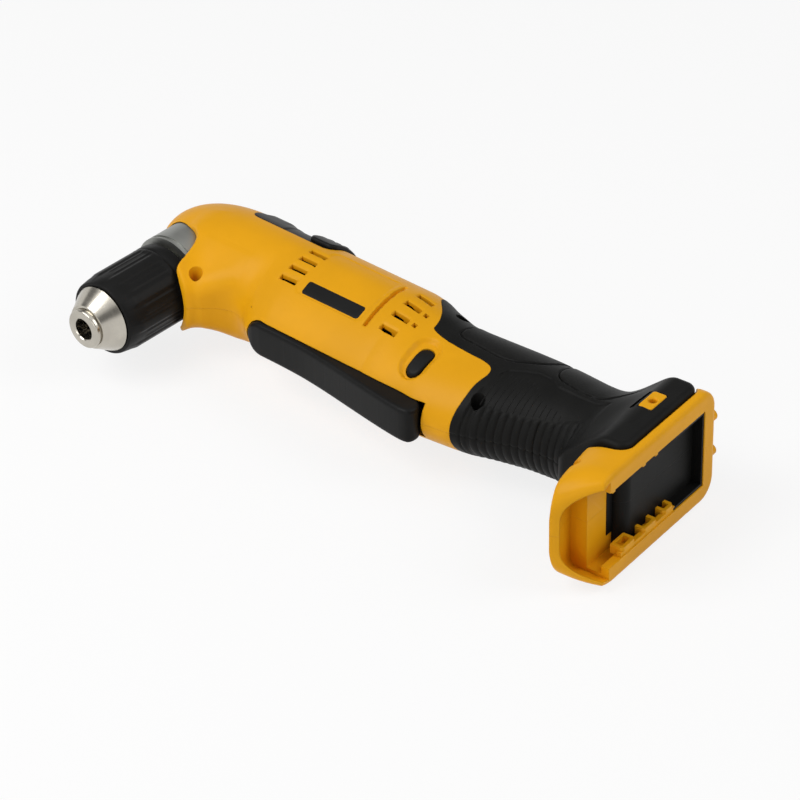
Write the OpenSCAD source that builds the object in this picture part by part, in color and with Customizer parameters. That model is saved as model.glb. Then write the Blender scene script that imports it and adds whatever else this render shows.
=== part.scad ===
// Right angle drill: clamshell body, bevel head, keyless chuck, paddle switch and slide-on battery foot.
// The chuck axis is X = 0, the barrel axis is Y = 0 and the parting plane of the shell is Z = 0.
// The whole part is moved so that the centre of the chuck mouth is the origin.

/* [Body] */
// Distance from the chuck axis to the front of the head
head_front = 30; // [29.5:0.25:31]
// Outside radius of the round barrel
barrel_r = 30.2; // [29.8:0.1:31]
// Depth of the keel below the barrel axis
keel_depth = 43; // [42.5:0.1:44]
// Wall thickness of the shell
shell_t = 2.6; // [2.2:0.1:2.8]
// Thickness of the rubber grip
grip_t = 1.6; // [1.2:0.1:1.8]
// Half thickness of the handle from side to side
grip_side = 24.5; // [24:0.1:26]

/* [Head] */
// Distance of the lower face of the gear case collar below the barrel axis
collar_drop = 29.6; // [29:0.1:30.2]
// Thickness of the chuck shield over the collar
shield_t = 3.1; // [2.9:0.1:3.6]
// How far the shield reaches below the collar
shield_over = 11.9; // [11.5:0.1:12.4]

/* [Chuck] */
// Length of the chuck from nose to back
chuck_len = 59.6; // [59:0.1:60]
// Outside diameter of the chuck sleeve
sleeve_d = 41.8; // [41:0.1:42.2]
// Diameter of the mouth of the chuck
mouth_d = 11.3; // [11:0.1:11.6]
// Length of the steel nose cone
cone_len = 12.8; // [12:0.1:13.5]
// Radius of the nose cone where it meets the sleeve
cone_r = 17.4; // [17:0.1:17.8]
// Diameter of a jaw
jaw_d = 5; // [4.8:0.1:5.2]
// Angle between a jaw and the chuck axis
jaw_angle = 14; // [13:0.5:15]

/* [Paddle] */
// Half width of the paddle
paddle_w = 9.4; // [9:0.1:9.8]
// Position of the paddle pivot along the barrel
pivot_x = 62; // [61:0.5:63]
// Distance of the paddle pivot below the barrel axis
pivot_y = 32; // [31.5:0.25:32.5]
// Radius of the paddle pivot pin
pivot_r = 2; // [1.8:0.1:2.2]

/* [Controls] */
// Travel of the speed selector
selector_travel = 10; // [8:0.5:10]
// Travel of the direction button to each side
button_travel = 2.5; // [2:0.25:3]

/* [Battery foot] */
// Half width of the foot
foot_w = 30.8; // [30.4:0.1:31]
// Half width over the rubber bumpers
bumper_w = 32.8; // [32.4:0.1:33.2]
// Tilt of the battery face
foot_tilt = 5.4; // [4.5:0.1:6]
// Half width between the battery rails
rail_gap = 21.3; // [20.5:0.1:21.8]
// Depth of the battery slot
slot_depth = 12.5; // [12:0.25:13]
// Radius of the belt hook thread
hook_r = 2; // [1.8:0.1:2.2]

/* [Hidden] */
$fn = 64;
run_gap = 0.05;
move_gap = 0.4;
button_w = 8;
button_h = 16;
knob_x0 = 57;
hook_at = [279.85, 5.9];
hook_w = 7.6;
hook_h = 14;
chuck_gap = 1.1;
head_reach = collar_drop + chuck_gap + chuck_len;
nose_y = -head_reach;
collar_r = barrel_r - 7.7;
shield_r = collar_r + shield_t;
shield_drop = collar_drop + shield_over;
case_r = barrel_r - 6.2;
seat_r = case_r - 1.6;
bearing_r = collar_r - 8.5;
can_r = barrel_r - 10.7;
chuck_back = nose_y + chuck_len;
sleeve_r = sleeve_d / 2;
mouth_r = mouth_d / 2;
jaw_r = jaw_d / 2;
jaw_c = 2.5;
stud_s = chuck_len - 15.6;
yellow = [0.90, 0.62, 0.03];
black = [0.06, 0.06, 0.055];
steel = [0.62, 0.61, 0.58];
grey = [0.42, 0.43, 0.40];
copper = [0.72, 0.42, 0.20];

// Loft of the body: position along the barrel, upper, lower and side half sizes
nose_c = 14;
nose_l = head_front + nose_c;
keel_x0 = 44;
keel_x1 = 57;
front_st = [for (a = [8, 20, 34, 50, 70, 90])
    let (r = barrel_r * pow(sin(a), 0.85))
    [nose_c - nose_l * cos(a), r, r, r]];
body_st = concat(front_st, [
    [keel_x0, barrel_r, barrel_r, barrel_r],
    [keel_x0 + 6, barrel_r, barrel_r + 6.5, barrel_r],
    [keel_x1, barrel_r, keel_depth - 0.8, barrel_r],
    [keel_x1 + 8, barrel_r, keel_depth, barrel_r],
    [134, barrel_r, keel_depth, barrel_r],
    [141, barrel_r - 0.9, keel_depth, barrel_r - 0.9],
    [148, barrel_r - 3.4, keel_depth, barrel_r - 2.8],
    [163, barrel_r - 7.4, keel_depth, grip_side + 0.5],
    [172, barrel_r - 7.2, keel_depth + 1, grip_side],
    [192, barrel_r - 4.7, keel_depth - 2.1, grip_side],
    [202, barrel_r - 3.5, keel_depth - 4.8, grip_side],
    [213, barrel_r - 2.6, keel_depth - 9.2, grip_side],
    [226, barrel_r - 2.3, keel_depth - 14.2, grip_side],
    [244, barrel_r - 3, keel_depth - 17.6, grip_side - 0.2],
    [256, barrel_r - 2.8, keel_depth - 16, grip_side + 0.6],
    [266, barrel_r - 1, keel_depth - 10, grip_side + 3],
    [276, barrel_r, keel_depth - 6, grip_side + 4]]);
ring_n = 40;
function ring(s, off) = [for (i = [0:ring_n - 1])
    let (t = 360 * i / ring_n)
    [s[0], (cos(t) > 0 ? s[1] - off : s[2] - off) * cos(t), (s[3] - off) * sin(t)]];
function inset(st, off) = [for (s = st) if (min(s[1], s[2], s[3]) > off + 2) s];
inside_st = [for (s = body_st) let (o = s[0] < 140 ? shell_t : shell_t + grip_t)
    if (s[1] > 9 && s[0] < 264) [s[0], s[1] - o, s[2] - o, s[3] - o]];

// Battery foot: origin of its own frame on the battery face, outward direction first
foot_o = [296, 7.2];
foot_pts = [[0, -63.4], [0, 30], [-21, 30], [-27, 25], [-31, 12], [-32, -24], [-27, -44], [-21, -78]];

// Outline of the rubber grip seen from the side
grip_pts = [[151, 60], [147, 30], [149, 20], [150, 11], [151, 3], [157, -6], [170, -7.5], [183, -8],
    [194, -9.5], [198, -13], [201, -22], [200, -32], [196, -38.5], [194.5, -60],
    [264, -60], [277, -40], [277, 60]];

// Screws: position along the barrel, position across it and height of the post
screw_pts = [[24.5, -35, 12], [157.5, 13.2, 7], [203, -28.3, 8.5], [278, -48.5, 24]];
screw_r = 2;
screw_head_r = 3.4;
screw_head_z = 6;
boss_r = 4.6;

// Bevel gears and planet stage
bevel_gear_n = 30;
bevel_pinion_n = 15;
cone_gear_r = collar_r - 6.5;
cone_gear_h = cone_gear_r * bevel_pinion_n / bevel_gear_n;
sun_n = 12;
planet_n = 15;
ring_teeth = sun_n + 2 * planet_n;
gear_m = 2 * (barrel_r - 11.3) / ring_teeth;
planet_c = gear_m * (sun_n + planet_n) / 2;
planet_x0 = 40;
planet_w = 10;
button_p = [163.5, -24.3];
plunger_x = 151;
comm_r = 0.39 * can_r;
wire_c = 0.564 * can_r;
core_r = 0.697 * can_r;

// Shared shapes
module at_mouth() {
    translate([0, head_reach, 0]) children();
}

module loft(st, off) {
    s = inset(st, off);
    n = len(s);
    pts = [for (q = s) each ring(q, off)];
    sides = [for (i = [0:n - 2]) for (j = [0:ring_n - 1])
        let (a = i * ring_n + j, b = i * ring_n + (j + 1) % ring_n)
        each [[a, b + ring_n, b], [a, a + ring_n, b + ring_n]]];
    cap0 = [[for (j = [0:ring_n - 1]) j]];
    cap1 = [[for (j = [ring_n - 1:-1:0]) (n - 1) * ring_n + j]];
    polyhedron(pts, concat(sides, cap0, cap1), convexity = 6);
}

module along_x(x0, x1, r) {
    translate([x0, 0, 0]) rotate([0, 90, 0]) cylinder(h = x1 - x0, r = r);
}

module along_y(y0, y1, r) {
    translate([0, y0, 0]) rotate([-90, 0, 0]) cylinder(h = y1 - y0, r = r);
}

module tube_x(x0, x1, r1, r0) {
    difference() {
        along_x(x0, x1, r1);
        along_x(x0 - 1, x1 + 1, r0);
    }
}

module box(a, b) {
    translate(a) cube(b - a);
}

module in_foot() {
    translate([foot_o[0], foot_o[1], 0]) rotate([0, 0, foot_tilt]) children();
}

module half(side) {
    translate([-100, -150, side > 0 ? 0 : -100]) cube([500, 300, 100]);
}

module grip_zone() {
    translate([0, 0, -60]) linear_extrude(120) polygon(grip_pts);
}

// Solid of the battery foot
module foot_solid() {
    in_foot() for (z = [-8.2, 8.2]) translate([-4, 27, z]) rotate([-90, 0, 0])
        cylinder(h = 7.4, r = 3, $fn = 16);
    in_foot() intersection() {
        translate([0, 0, -foot_w]) linear_extrude(2 * foot_w) offset(r = 2, $fn = 12) offset(delta = -2)
            polygon(foot_pts);
        rotate([0, -90, 0]) translate([0, 0, -5]) linear_extrude(60) intersection() {
            rounded(-78, 60, 13);
            rounded(-120, 30, 8);
        }
    }
}

// Rectangle as wide as the foot with rounded corners
module rounded(v0, v1, r) {
    offset(r = r, $fn = 24) translate([-foot_w + r, v0 + r]) square([2 * (foot_w - r), v1 - v0 - 2 * r]);
}

// Room for the battery: rails, slot under the rails, and open scoop at the near end
module foot_room() {
    in_foot() {
        box([-slot_depth, -60, -rail_gap], [5, 22, rail_gap]);
        box([-slot_depth, -60, -rail_gap - 4.4], [-4.5, 22, rail_gap + 4.4]);
        intersection() {
            box([-40, -90, -foot_w + 2.6], [5, -59, foot_w - 2.6]);
            translate([0, 0, -50]) linear_extrude(100) offset(delta = -2.6) polygon([[20, -50], [20, -62],
                [2, -74], [-14.5, -92], [-21, -79.5], [-26, -50]]);
        }
        box([-slot_depth - 5, -4, -17.2], [-slot_depth + 1, 20.2, 17.2]);
        box([-slot_depth - 1.2, -43, -17], [-slot_depth + 1, -3, 17]);
    }
}

// Outside of the yellow body, with the handle set back under the rubber grip
module body_outside() {
    difference() {
        union() {
            loft(body_st, 0);
            foot_solid();
            shield_solid();
        }
        difference() {
            grip_zone();
            loft(body_st, grip_t);
            foot_solid();
        }
    }
}

module shield_solid() {
    difference() {
        translate([0, -shield_drop, 0]) rotate([-90, 0, 0]) cylinder(h = shield_drop, r = shield_r, $fn = 36);
        rotate([0, 0, 15]) translate([-80 + 1.5, -120, -50]) cube([80, 106, 100]);
    }
    hull() {
        translate([0, -shield_drop + 2, 0]) rotate([-90, 0, 0]) intersection() {
            cylinder(h = 24, r = shield_r, $fn = 36);
            translate([10, -40, 0]) cube([40, 80, 24]);
        }
        translate([screw_pts[0][0] + 2, screw_pts[0][1], -15]) cylinder(h = 30, r = 6, $fn = 16);
    }
    hull() {
        translate([screw_pts[0][0] + 2, screw_pts[0][1], -15]) cylinder(h = 30, r = 6, $fn = 16);
        translate([40, -22, -20]) cylinder(h = 40, r = 6, $fn = 16);
    }
}

// Hollow inside of the body
module body_inside() {
    loft(inside_st, 0);
    in_foot() box([-slot_depth - 12, -30, -14], [-slot_depth - 4.9, 18, 14]);
    translate([255, -12, -12]) cube([22, 26, 24]);
}

module vent(x, y, len, z0, z1) {
    hull() {
        translate([x, y - 0.9, z0]) cube([1, 1.8, z1 - z0]);
        translate([x + len - 1, y - 0.9, z0]) cube([1, 1.8, z1 - z0]);
    }
}

module vents() {
    for (i = [0:3]) vent(70 - i * 0.4, 1.2 - i * 6.85, 9.2, -40, 40);
    for (i = [0:3]) vent(135.5, 5.9 - i * 8.7, 9.4, -40, 40);
    for (i = [0:1]) vent(147.4, -2.4 - i * 8.8, 2.2, -40, 40);
}

// Posts that join the two shell halves
module bosses(side) {
    for (p = screw_pts) translate([p[0], p[1], side > 0 ? 0 : -p[2]])
        cylinder(h = p[2], r = boss_r, $fn = 16);
    intersection() {
        translate([screw_pts[1][0], screw_pts[1][1], side > 0 ? 0 : -barrel_r])
            cylinder(h = barrel_r, r = boss_r, $fn = 16);
        loft(body_st, grip_t + 0.5);
    }
}

module screw_bores(side) {
    for (p = screw_pts) translate([p[0], p[1], 0]) {
        if (side > 0) {
            translate([0, 0, -1]) cylinder(h = 50, r = screw_r + 0.2, $fn = 16);
            translate([0, 0, screw_head_z]) cylinder(h = 60, r = screw_head_r + 0.3, $fn = 20);
        } else {
            translate([0, 0, -12]) cylinder(h = 13, r = screw_r + 0.1, $fn = 16);
        }
    }
}

// Opening in the keel in which the paddle swings
module paddle_slot() {
    box([50.5, -70, -paddle_w - move_gap], [180.6, -25, paddle_w + move_gap]);
}

module selector_slot(gap) {
    intersection() {
        tube_x(14 - gap, 80 + gap, barrel_r + 8, barrel_r - 2 - gap);
        difference() {
            translate([0, 0, -40]) cube([120, 60, 80]);
            rotate([-22 + gap, 0, 0]) translate([0, -60, 0]) cube([120, 60, 60]);
            rotate([22 - gap, 0, 0]) translate([0, -60, -60]) cube([120, 60, 60]);
        }
    }
}

module housing(side) {
    $fn = 24;
    color(yellow) at_mouth() difference() {
        union() {
            difference() {
                intersection() {
                    body_outside();
                    half(side);
                }
                body_inside();
            }
            bosses(side);
            motor_ribs(side);
            switch_ribs(side);
        }
        foot_room();
        vents();
        screw_bores(side);
        paddle_slot();
        selector_slot(0.02);
        box([44, 10, -4], [82, barrel_r + 10, 4]);
        button_bore();
        pivot_bore();
        hook_bores();
        along_y(nose_y, -8, collar_r + 0.4);
        along_y(nose_y, chuck_back + 0.6, collar_r + 1);
    }
}

module motor_ribs(side) {
    intersection() {
        union() {
            for (x = [34, 104]) difference() {
                along_x(x, x + 3, barrel_r - 1);
                along_x(x - 1, x + 4, x < 40 ? case_r + 0.3 : can_r + 0.25);
                translate([0, -80, -20]) cube([200, 60, 40]);
            }
        }
        half(side);
    }
}

// Ribs on each side of the switch
module switch_ribs(side) {
    intersection() {
        for (x = [144, 180]) box([x, -12, side > 0 ? 10 : -40], [x + 3, 7, side > 0 ? 40 : -10]);
        loft(body_st, grip_t + 0.5);
    }
}

module button_bore() {
    translate([button_p[0], button_p[1], -50]) linear_extrude(100)
        oval(button_w + 2 * move_gap, button_h + 2 * move_gap);
}

module oval(w, h) {
    translate([0, -(h - w) / 2]) circle(d = w);
    translate([0, (h - w) / 2]) circle(d = w);
    square([w, h - w], center = true);
}

module pivot_bore() {
    translate([pivot_x, -pivot_y, -18.3]) cylinder(h = 36.6, r = pivot_r + 0.1, $fn = 16);
}

module hook_bores() {
    for (s = [-1, 1]) translate(hook_at) rotate(foot_tilt) mirror([0, 0, s > 0 ? 0 : 1])
        translate([-hook_w / 2, -hook_h / 2, bumper_w - 10]) cube([hook_w, hook_h, 20]);
}

module housing_left() {
    housing(1);
}

module housing_right() {
    housing(-1);
}

// Rubber grip half with the bumper on the side of the foot
module grip(side) {
    color(black) at_mouth() difference() {
        intersection() {
            union() {
                difference() {
                    intersection() {
                        grip_zone();
                        loft(body_st, 0);
                    }
                    loft(body_st, grip_t);
                    foot_solid();
                }
                bumper();
            }
            half(side);
        }
        screw_bores(1);
        screw_bores(-1);
        hook_bores();
        difference() {
            for (i = [0:8]) vent(206 + i * 5.4, -17 + i * 0.6, 4, side * 20 - 6, side * 20 + 6);
            loft(body_st, grip_t / 2);
        }
    }
}

module bumper() {
    difference() {
        for (m = [0, 1]) mirror([0, 0, m]) {
            in_foot() hull() {
                for (v = [-26, 20]) for (u = [-21, -7.5]) {
                    translate([u, v, foot_w - 3]) cylinder(h = bumper_w - foot_w + 2, r = 5.5, $fn = 24);
                    translate([u, v, foot_w - 3]) cylinder(h = bumper_w - foot_w + 3, r = 4.5, $fn = 24);
                }
            }
            hull() {
                in_foot() for (v = [-22, 16]) translate([-28, v, foot_w - 3])
                    cylinder(h = bumper_w - foot_w + 2, r = 5.5, $fn = 24);
                for (y = [-11, 13]) translate([248, y, 16]) cylinder(h = 6, r = 4, $fn = 16);
            }
        }
        foot_solid();
        loft(body_st, grip_t);
    }
}

module grip_left() {
    grip(1);
}

module grip_right() {
    grip(-1);
}

// Shell screws, all alike
module housing_screws() {
    color(steel) at_mouth() for (p = screw_pts) translate([p[0], p[1], 0]) {
        translate([0, 0, -12]) cylinder(h = screw_head_z + 12, r = screw_r);
        difference() {
            translate([0, 0, screw_head_z]) cylinder(h = 2.4, r = screw_head_r);
            translate([0, 0, screw_head_z + 1]) cylinder(h = 3, r = 1.6, $fn = 6);
        }
    }
}

// Threaded belt hook inserts, one on each side of the foot
module hook_inserts() {
    color(yellow) at_mouth() for (m = [0, 1]) mirror([0, 0, m]) translate(hook_at) rotate(foot_tilt) difference() {
        translate([-hook_w / 2, -hook_h / 2, bumper_w - 10]) cube([hook_w, hook_h, 9.8]);
        translate([0, 0, bumper_w - 8.2]) cylinder(h = 10, r = hook_r);
    }
}

// Black terminal block at the end of the battery slot, with the floor plate of the slot
module terminal_block() {
    color(black) at_mouth() in_foot() difference() {
        union() {
            box([-slot_depth - 5, -4, -17.2], [-slot_depth + 6, 20.2, 17.2]);
            box([-slot_depth - 1.2, -43, -17], [-slot_depth + 0.3, -3, 17]);
        }
        for (z = [-10.5, 0, 10.5]) {
            box([-slot_depth + 0.5, -6, z - 2.5], [-slot_depth + 10, 17, z + 2.5]);
            box([-slot_depth - 8, 4, z - 0.4], [-slot_depth + 10, 14, z + 0.4]);
        }
    }
}

// Three flat contact blades in the terminal block
module terminal_blades() {
    color(steel) at_mouth() in_foot() for (z = [-10.5, 0, 10.5]) {
        box([-slot_depth - 6.5, 4, z - 0.4], [-slot_depth + 0.5, 14, z + 0.4]);
        box([-slot_depth + 0.5, -2, z - 0.4], [-slot_depth + 5.5, 16, z + 0.4]);
    }
}

// Grey metal gear case with the collar that shows above the chuck
module gear_case() {
    color(grey) at_mouth() difference() {
        union() {
            along_y(-collar_drop, 10, collar_r);
            along_x(0, 55, case_r);
        }
        along_y(-collar_drop - 10, -collar_drop + 2.7, bearing_r + 1.5);
        along_y(-collar_drop + 1.6, -15, bearing_r);
        along_y(-16, 1.9, collar_r - 3);
        along_y(1, 7.9, 8);
        along_x(0, 24, collar_r - 3);
        along_x(23, 31, 12);
        along_x(30.4, 40, case_r - 3.4);
        along_x(planet_x0 - 1, 60, seat_r);
        box([26, -60, -40], [60, -case_r + 1, 40]);
        translate([0, -collar_drop + 1.2, 0]) rotate([-90, 0, 0]) ring_cut(1.6, collar_r + 2, collar_r - 0.7);
        translate([screw_pts[0][0], screw_pts[0][1], -30]) cylinder(h = 60, r = boss_r + 1);
    }
}

// Ball bearing shown as one ring: seat radius, shaft radius and width
module bearing_y(y0, y1, r1, r0) {
    difference() {
        along_y(y0, y1, r1);
        along_y(y0 - 1, y1 + 1, r0);
        translate([0, y0 - 0.01, 0]) rotate([-90, 0, 0]) ring_cut(0.6, r1 - 2, r0 + 2);
        translate([0, y1 - 0.59, 0]) rotate([-90, 0, 0]) ring_cut(0.6, r1 - 2, r0 + 2);
    }
}

module ring_cut(h, r1, r0) {
    difference() {
        cylinder(h = h, r = r1);
        translate([0, 0, -1]) cylinder(h = h + 2, r = r0);
    }
}

module spindle_bearing() {
    color(steel) at_mouth() bearing_y(-collar_drop + 2.6, -collar_drop + 12.6, bearing_r, 6 + run_gap);
}

module top_bearing() {
    color(steel) at_mouth() bearing_y(2.7, 7.8, 8, 4 + run_gap);
}

module pinion_bearing() {
    color(steel) at_mouth() difference() {
        along_x(24, 30.4, 12);
        along_x(23, 32, 6 + run_gap);
        translate([23.99, 0, 0]) rotate([0, 90, 0]) ring_cut(0.6, 10, 8);
    }
}

// Straight gear outline: teeth, module, thickness share, outer and root radius offsets
function tooth(n, m, i, share, add, ded) = let (p = 360 / n, r = n * m / 2)
    [[r - ded, -0.32 * p], [r - ded * 0.3, -share * p], [r + add, -share * p * 0.45],
     [r + add, share * p * 0.45], [r - ded * 0.3, share * p], [r - ded, 0.32 * p]];
function gear_pts(n, m, share, add, ded) = [for (i = [0:n - 1]) for (q = tooth(n, m, i, share, add, ded))
    q[0] * [cos(q[1] + 360 * i / n), sin(q[1] + 360 * i / n)]];

module gear2d(n, m) {
    polygon(gear_pts(n, m, 0.2, 0.85 * m, 1.2 * m));
}

module on_x(x) {
    translate([x, 0, 0]) rotate([0, 90, 0]) children();
}

// Fixed ring gear of the planet stage
module ring_gear() {
    color(steel) at_mouth() on_x(planet_x0 - 1) difference() {
        cylinder(h = planet_w + 2, r = seat_r);
        translate([0, 0, -1]) linear_extrude(planet_w + 4)
            polygon(gear_pts(ring_teeth, gear_m, 0.3, 1.25 * gear_m, 0.9 * gear_m));
    }
}

// Plate between the planet stage and the motor
module motor_plate() {
    color(grey) at_mouth() difference() {
        along_x(planet_x0 + planet_w + 1.2, planet_x0 + planet_w + 5, seat_r);
        along_x(0, 100, 2.5 + run_gap);
    }
}

// Steel motor can, open at both ends, with a lip at the front
module motor_can() {
    color([0.30, 0.30, 0.31]) at_mouth() difference() {
        along_x(72, 128, can_r);
        along_x(71, 129, can_r - 1.6);
    }
}

module motor_magnets() {
    color([0.18, 0.18, 0.19]) at_mouth() intersection() {
        tube_x(78, 114, can_r - 1.6, 0.733 * can_r);
        union() {
            box([70, 4, -30], [130, 30, 30]);
            box([70, -30, -30], [130, -4, 30]);
        }
    }
}

// Insulating ring that carries the brushes and the rear bearing
module brush_ring() {
    color(black) at_mouth() difference() {
        along_x(118, 134, can_r - 1.6);
        along_x(117, 129, wire_c);
        along_x(128, 140, 2.5 + run_gap);
        for (s = [-1, 1]) box([120, s > 0 ? 5 : -24, -3], [127, s > 0 ? 24 : -5, 3]);
    }
}

module brushes() {
    color([0.12, 0.11, 0.11]) at_mouth() for (s = [-1, 1])
        box([120, s > 0 ? comm_r + 0.5 : 3.5 - can_r, -3], [127, s > 0 ? can_r - 3.5 : -comm_r - 0.5, 3]);
}

module switch_body() {
    color([0.10, 0.10, 0.11]) at_mouth() difference() {
        union() {
            box([142, -13, -10], [188, 8, 10]);
            box([188, -8, -7], [194, 4, 7]);
        }
        box([plunger_x - 3.5, -14, -3.5], [plunger_x + 3.5, -2, 3.5]);
        box([button_p[0] - 5, -14, -5 - button_travel], [button_p[0] + 5, -9, 5 + button_travel]);
    }
}

// Two leads from the switch to the battery terminals
module power_leads() {
    color([0.55, 0.05, 0.04]) at_mouth() for (s = [-1, 1]) {
        translate([194, -2, s * 4]) rotate([0, 90, 3]) cylinder(h = 82, r = 1.3);
    }
}

// Track of the speed selector, set flush in the barrel
module selector_track() {
    color(black) at_mouth() difference() {
        intersection() {
            selector_slot(0);
            union() {
                along_x(0, 100, barrel_r - 0.2);
                along_x(17, 36, barrel_r + 0.8);
            }
        }
        box([knob_x0 - selector_travel - 1, 0, -3.4], [80.1, 60, 3.4]);
        tube_x(knob_x0 - selector_travel - 3, 81, barrel_r + 9, barrel_r - 0.6);
    }
}

module selector_band(x0, x1, r1, r0, a) {
    intersection() {
        tube_x(x0, x1, r1, r0);
        difference() {
            translate([0, 0, -40]) cube([120, 60, 80]);
            rotate([-a, 0, 0]) translate([0, -60, 0]) cube([120, 60, 60]);
            rotate([a, 0, 0]) translate([0, -60, -60]) cube([120, 60, 60]);
        }
    }
}

// Sliding knob of the speed selector
module speed_selector() {
    color(black) at_mouth() {
        selector_band(knob_x0, 79.6, barrel_r + 2.3, barrel_r - 0.3, 24.5);
        box([knob_x0 + 3, barrel_r - 5, -3], [76, barrel_r + 0.5, 3]);
        for (i = [0:2]) selector_band(62 + i * 5, 64 + i * 5, barrel_r + 3, barrel_r + 2, 40);
    }
}

// Fork that the selector carries over the ring gear
module shift_fork() {
    color(steel) at_mouth() difference() {
        box([knob_x0 + 3, barrel_r - 5.8, -3], [knob_x0 + 11, barrel_r - 5, 3]);
        box([knob_x0 + 7, 10, -1], [knob_x0 + 13, barrel_r, 1]);
    }
}

// Cross bolt for forward and reverse
module direction_button() {
    color(black) at_mouth() {
        for (m = [0, 1]) mirror([0, 0, m]) translate([button_p[0], button_p[1], 13.4])
            linear_extrude(7.6) oval(button_w, button_h);
        translate([button_p[0], button_p[1] + 5, -14]) linear_extrude(28) circle(d = 5);
        translate([button_p[0] - 1.5, button_p[1] + 5, -1.5]) cube([3, 9.6, 3]);
    }
}

// Long paddle that works the switch: outline from the side and outline from the end
paddle_pts = [[58, -29], [66, -29], [74, -36], [168, -36], [177.6, -40.5], [178.4, -46.5], [174.5, -50.2],
    [166, -50.2], [146, -48.2], [112, -43.4], [88, -41.2], [58, -40.2]];
paddle_end = [[-20, -paddle_w], [-48, -paddle_w], [-52, -paddle_w + 2.4], [-52, paddle_w - 2.4],
    [-48, paddle_w], [-20, paddle_w]];

module paddle() {
    color(black) at_mouth() difference() {
        intersection() {
            translate([0, 0, -paddle_w - 1]) union() {
                linear_extrude(2 * paddle_w + 2) polygon(paddle_pts);
                translate([58.6, -34.6, 0]) cylinder(h = 2 * paddle_w + 2, r = 5.4);
            }
            translate([40, 0, 0]) rotate([90, 0, 90]) linear_extrude(140) polygon(paddle_end);
        }
        translate([pivot_x, -pivot_y, -20]) cylinder(h = 40, r = pivot_r + run_gap);
        box([100, -40.5, -paddle_w + 2], [144, -30, paddle_w - 2]);
    }
}

module paddle_pin() {
    color(steel) at_mouth() translate([pivot_x, -pivot_y, -18.2]) cylinder(h = 36.4, r = pivot_r);
}

// Plunger between the paddle and the switch
module switch_plunger() {
    color([0.75, 0.74, 0.70]) at_mouth() {
        box([plunger_x - 3, -33, -3], [plunger_x + 3, -10, 3]);
        translate([plunger_x, -33, -3]) cylinder(h = 6, r = 2.7);
    }
}

// Output spindle
module spindle() {
    color(steel) at_mouth() {
        along_y(nose_y + stud_s, -collar_drop - 0.4, 4.8);
        along_y(nose_y + chuck_len - 0.2, -collar_drop + 1.4, 9);
        along_y(-collar_drop + 0.6, 2.4, 6);
        along_y(2, 7.6, 4);
    }
}

// Bevel gear outlines are drawn where they meet the back cone and run to the crossing point of the axes
function cone_pts(n, h, r, mult, share) = let (a = atan(r / h), d = sqrt(h * h + r * r), m = 2 * r / n,
    ra = h * tan(a + mult * 0.75 * m / d * 57.3), rf = h * tan(a - mult * 1.15 * m / d * 57.3), p = 360 / n)
    [for (i = [0:n - 1]) for (q = [[rf, -0.33], [r, -share], [ra, -share * 0.5],
            [ra, share * 0.5], [r, share], [rf, 0.33]])
        q[0] * [cos((i + q[1]) * p), sin((i + q[1]) * p)]];

module cone_gear(n, h, r, face) {
    s = 1 - face / sqrt(h * h + r * r);
    translate([0, 0, h]) mirror([0, 0, 1]) linear_extrude(height = h * (1 - s), scale = s)
        polygon(cone_pts(n, h, r, 1, 0.19));
}

module bevel_gear() {
    color(grey) at_mouth() difference() {
        union() {
            rotate([90, 0, 0]) cone_gear(bevel_gear_n, cone_gear_h, cone_gear_r, 6);
            along_y(-cone_gear_h - 4.6, -cone_gear_h + 0.3, cone_gear_r - 2.4);
        }
        along_y(-20, 20, 6);
    }
}

module bevel_pinion() {
    color(grey) at_mouth() union() {
        on_x(0) rotate([0, 0, 270 + 180 / bevel_pinion_n])
            cone_gear(bevel_pinion_n, cone_gear_r, cone_gear_h, 6);
        along_x(cone_gear_r - 4, 23.5, 4.6);
        along_x(cone_gear_r + 1, 23, 6.4);
        along_x(23, 33, 6);
    }
}

// Steel core of the chuck with the nose cone
module chuck_frame() {
    translate([0, nose_y, 0]) rotate([-90, 0, 0]) children();
}

module jaw_line(k) {
    rotate([0, 0, 120 * k + 30]) translate([jaw_c, 0, 0]) rotate([0, jaw_angle, 0]) children();
}

module chuck_body() {
    color(steel) at_mouth() chuck_frame() difference() {
        rotate_extrude() polygon([[mouth_r, 0], [9.6, 0], [10.3, 0.7], [10.3, 2.2], [9.8, 2.4],
            [9.8, 3], [11.5, 3.1], [cone_r, cone_len], [16, cone_len],
            [16, 18], [17.2, 20], [17.2, 26.6], [13.2, 26.6], [13.2, 38], [17.2, 38], [17.2, chuck_len - 2],
            [15, chuck_len - 0.2], [4.8, chuck_len - 0.2], [4.8, stud_s], [mouth_r + 0.3, stud_s],
            [mouth_r + 0.3, 3], [mouth_r, 3]]);
        for (k = [0:2]) jaw_line(k) translate([0, 0, 4.2]) cylinder(h = 43.2, r = jaw_r + run_gap);
    }
}

module chuck_screw() {
    color(grey) at_mouth() chuck_frame() difference() {
        translate([0, 0, stud_s - 3.8]) cylinder(h = 3.8, r = mouth_r - 0.2);
        translate([0, 0, stud_s - 5]) cylinder(h = 3, r = 2.4, $fn = 6);
    }
}

module chuck_sleeve() {
    color(black) at_mouth() chuck_frame() difference() {
        union() {
            rotate_extrude() polygon([[cone_r + 0.1, cone_len + 0.5], [19.2, cone_len + 0.5],
                [sleeve_r - 0.6, 21], [sleeve_r - 0.6, chuck_len - 3], [sleeve_r - 1.6, chuck_len - 0.6],
                [17.6, chuck_len - 0.6], [17.6, cone_len + 4], [cone_r + 0.1, cone_len + 3]]);
            for (i = [0:17]) rotate([0, 0, 20 * i]) translate([sleeve_r - 1.4, -1.6, 22])
                cube([1.4, 3.2, 32]);
        }
        translate([0, 0, 40]) rotate_extrude() translate([sleeve_r + 0.4, 0]) circle(r = 1.2);
    }
}

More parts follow.
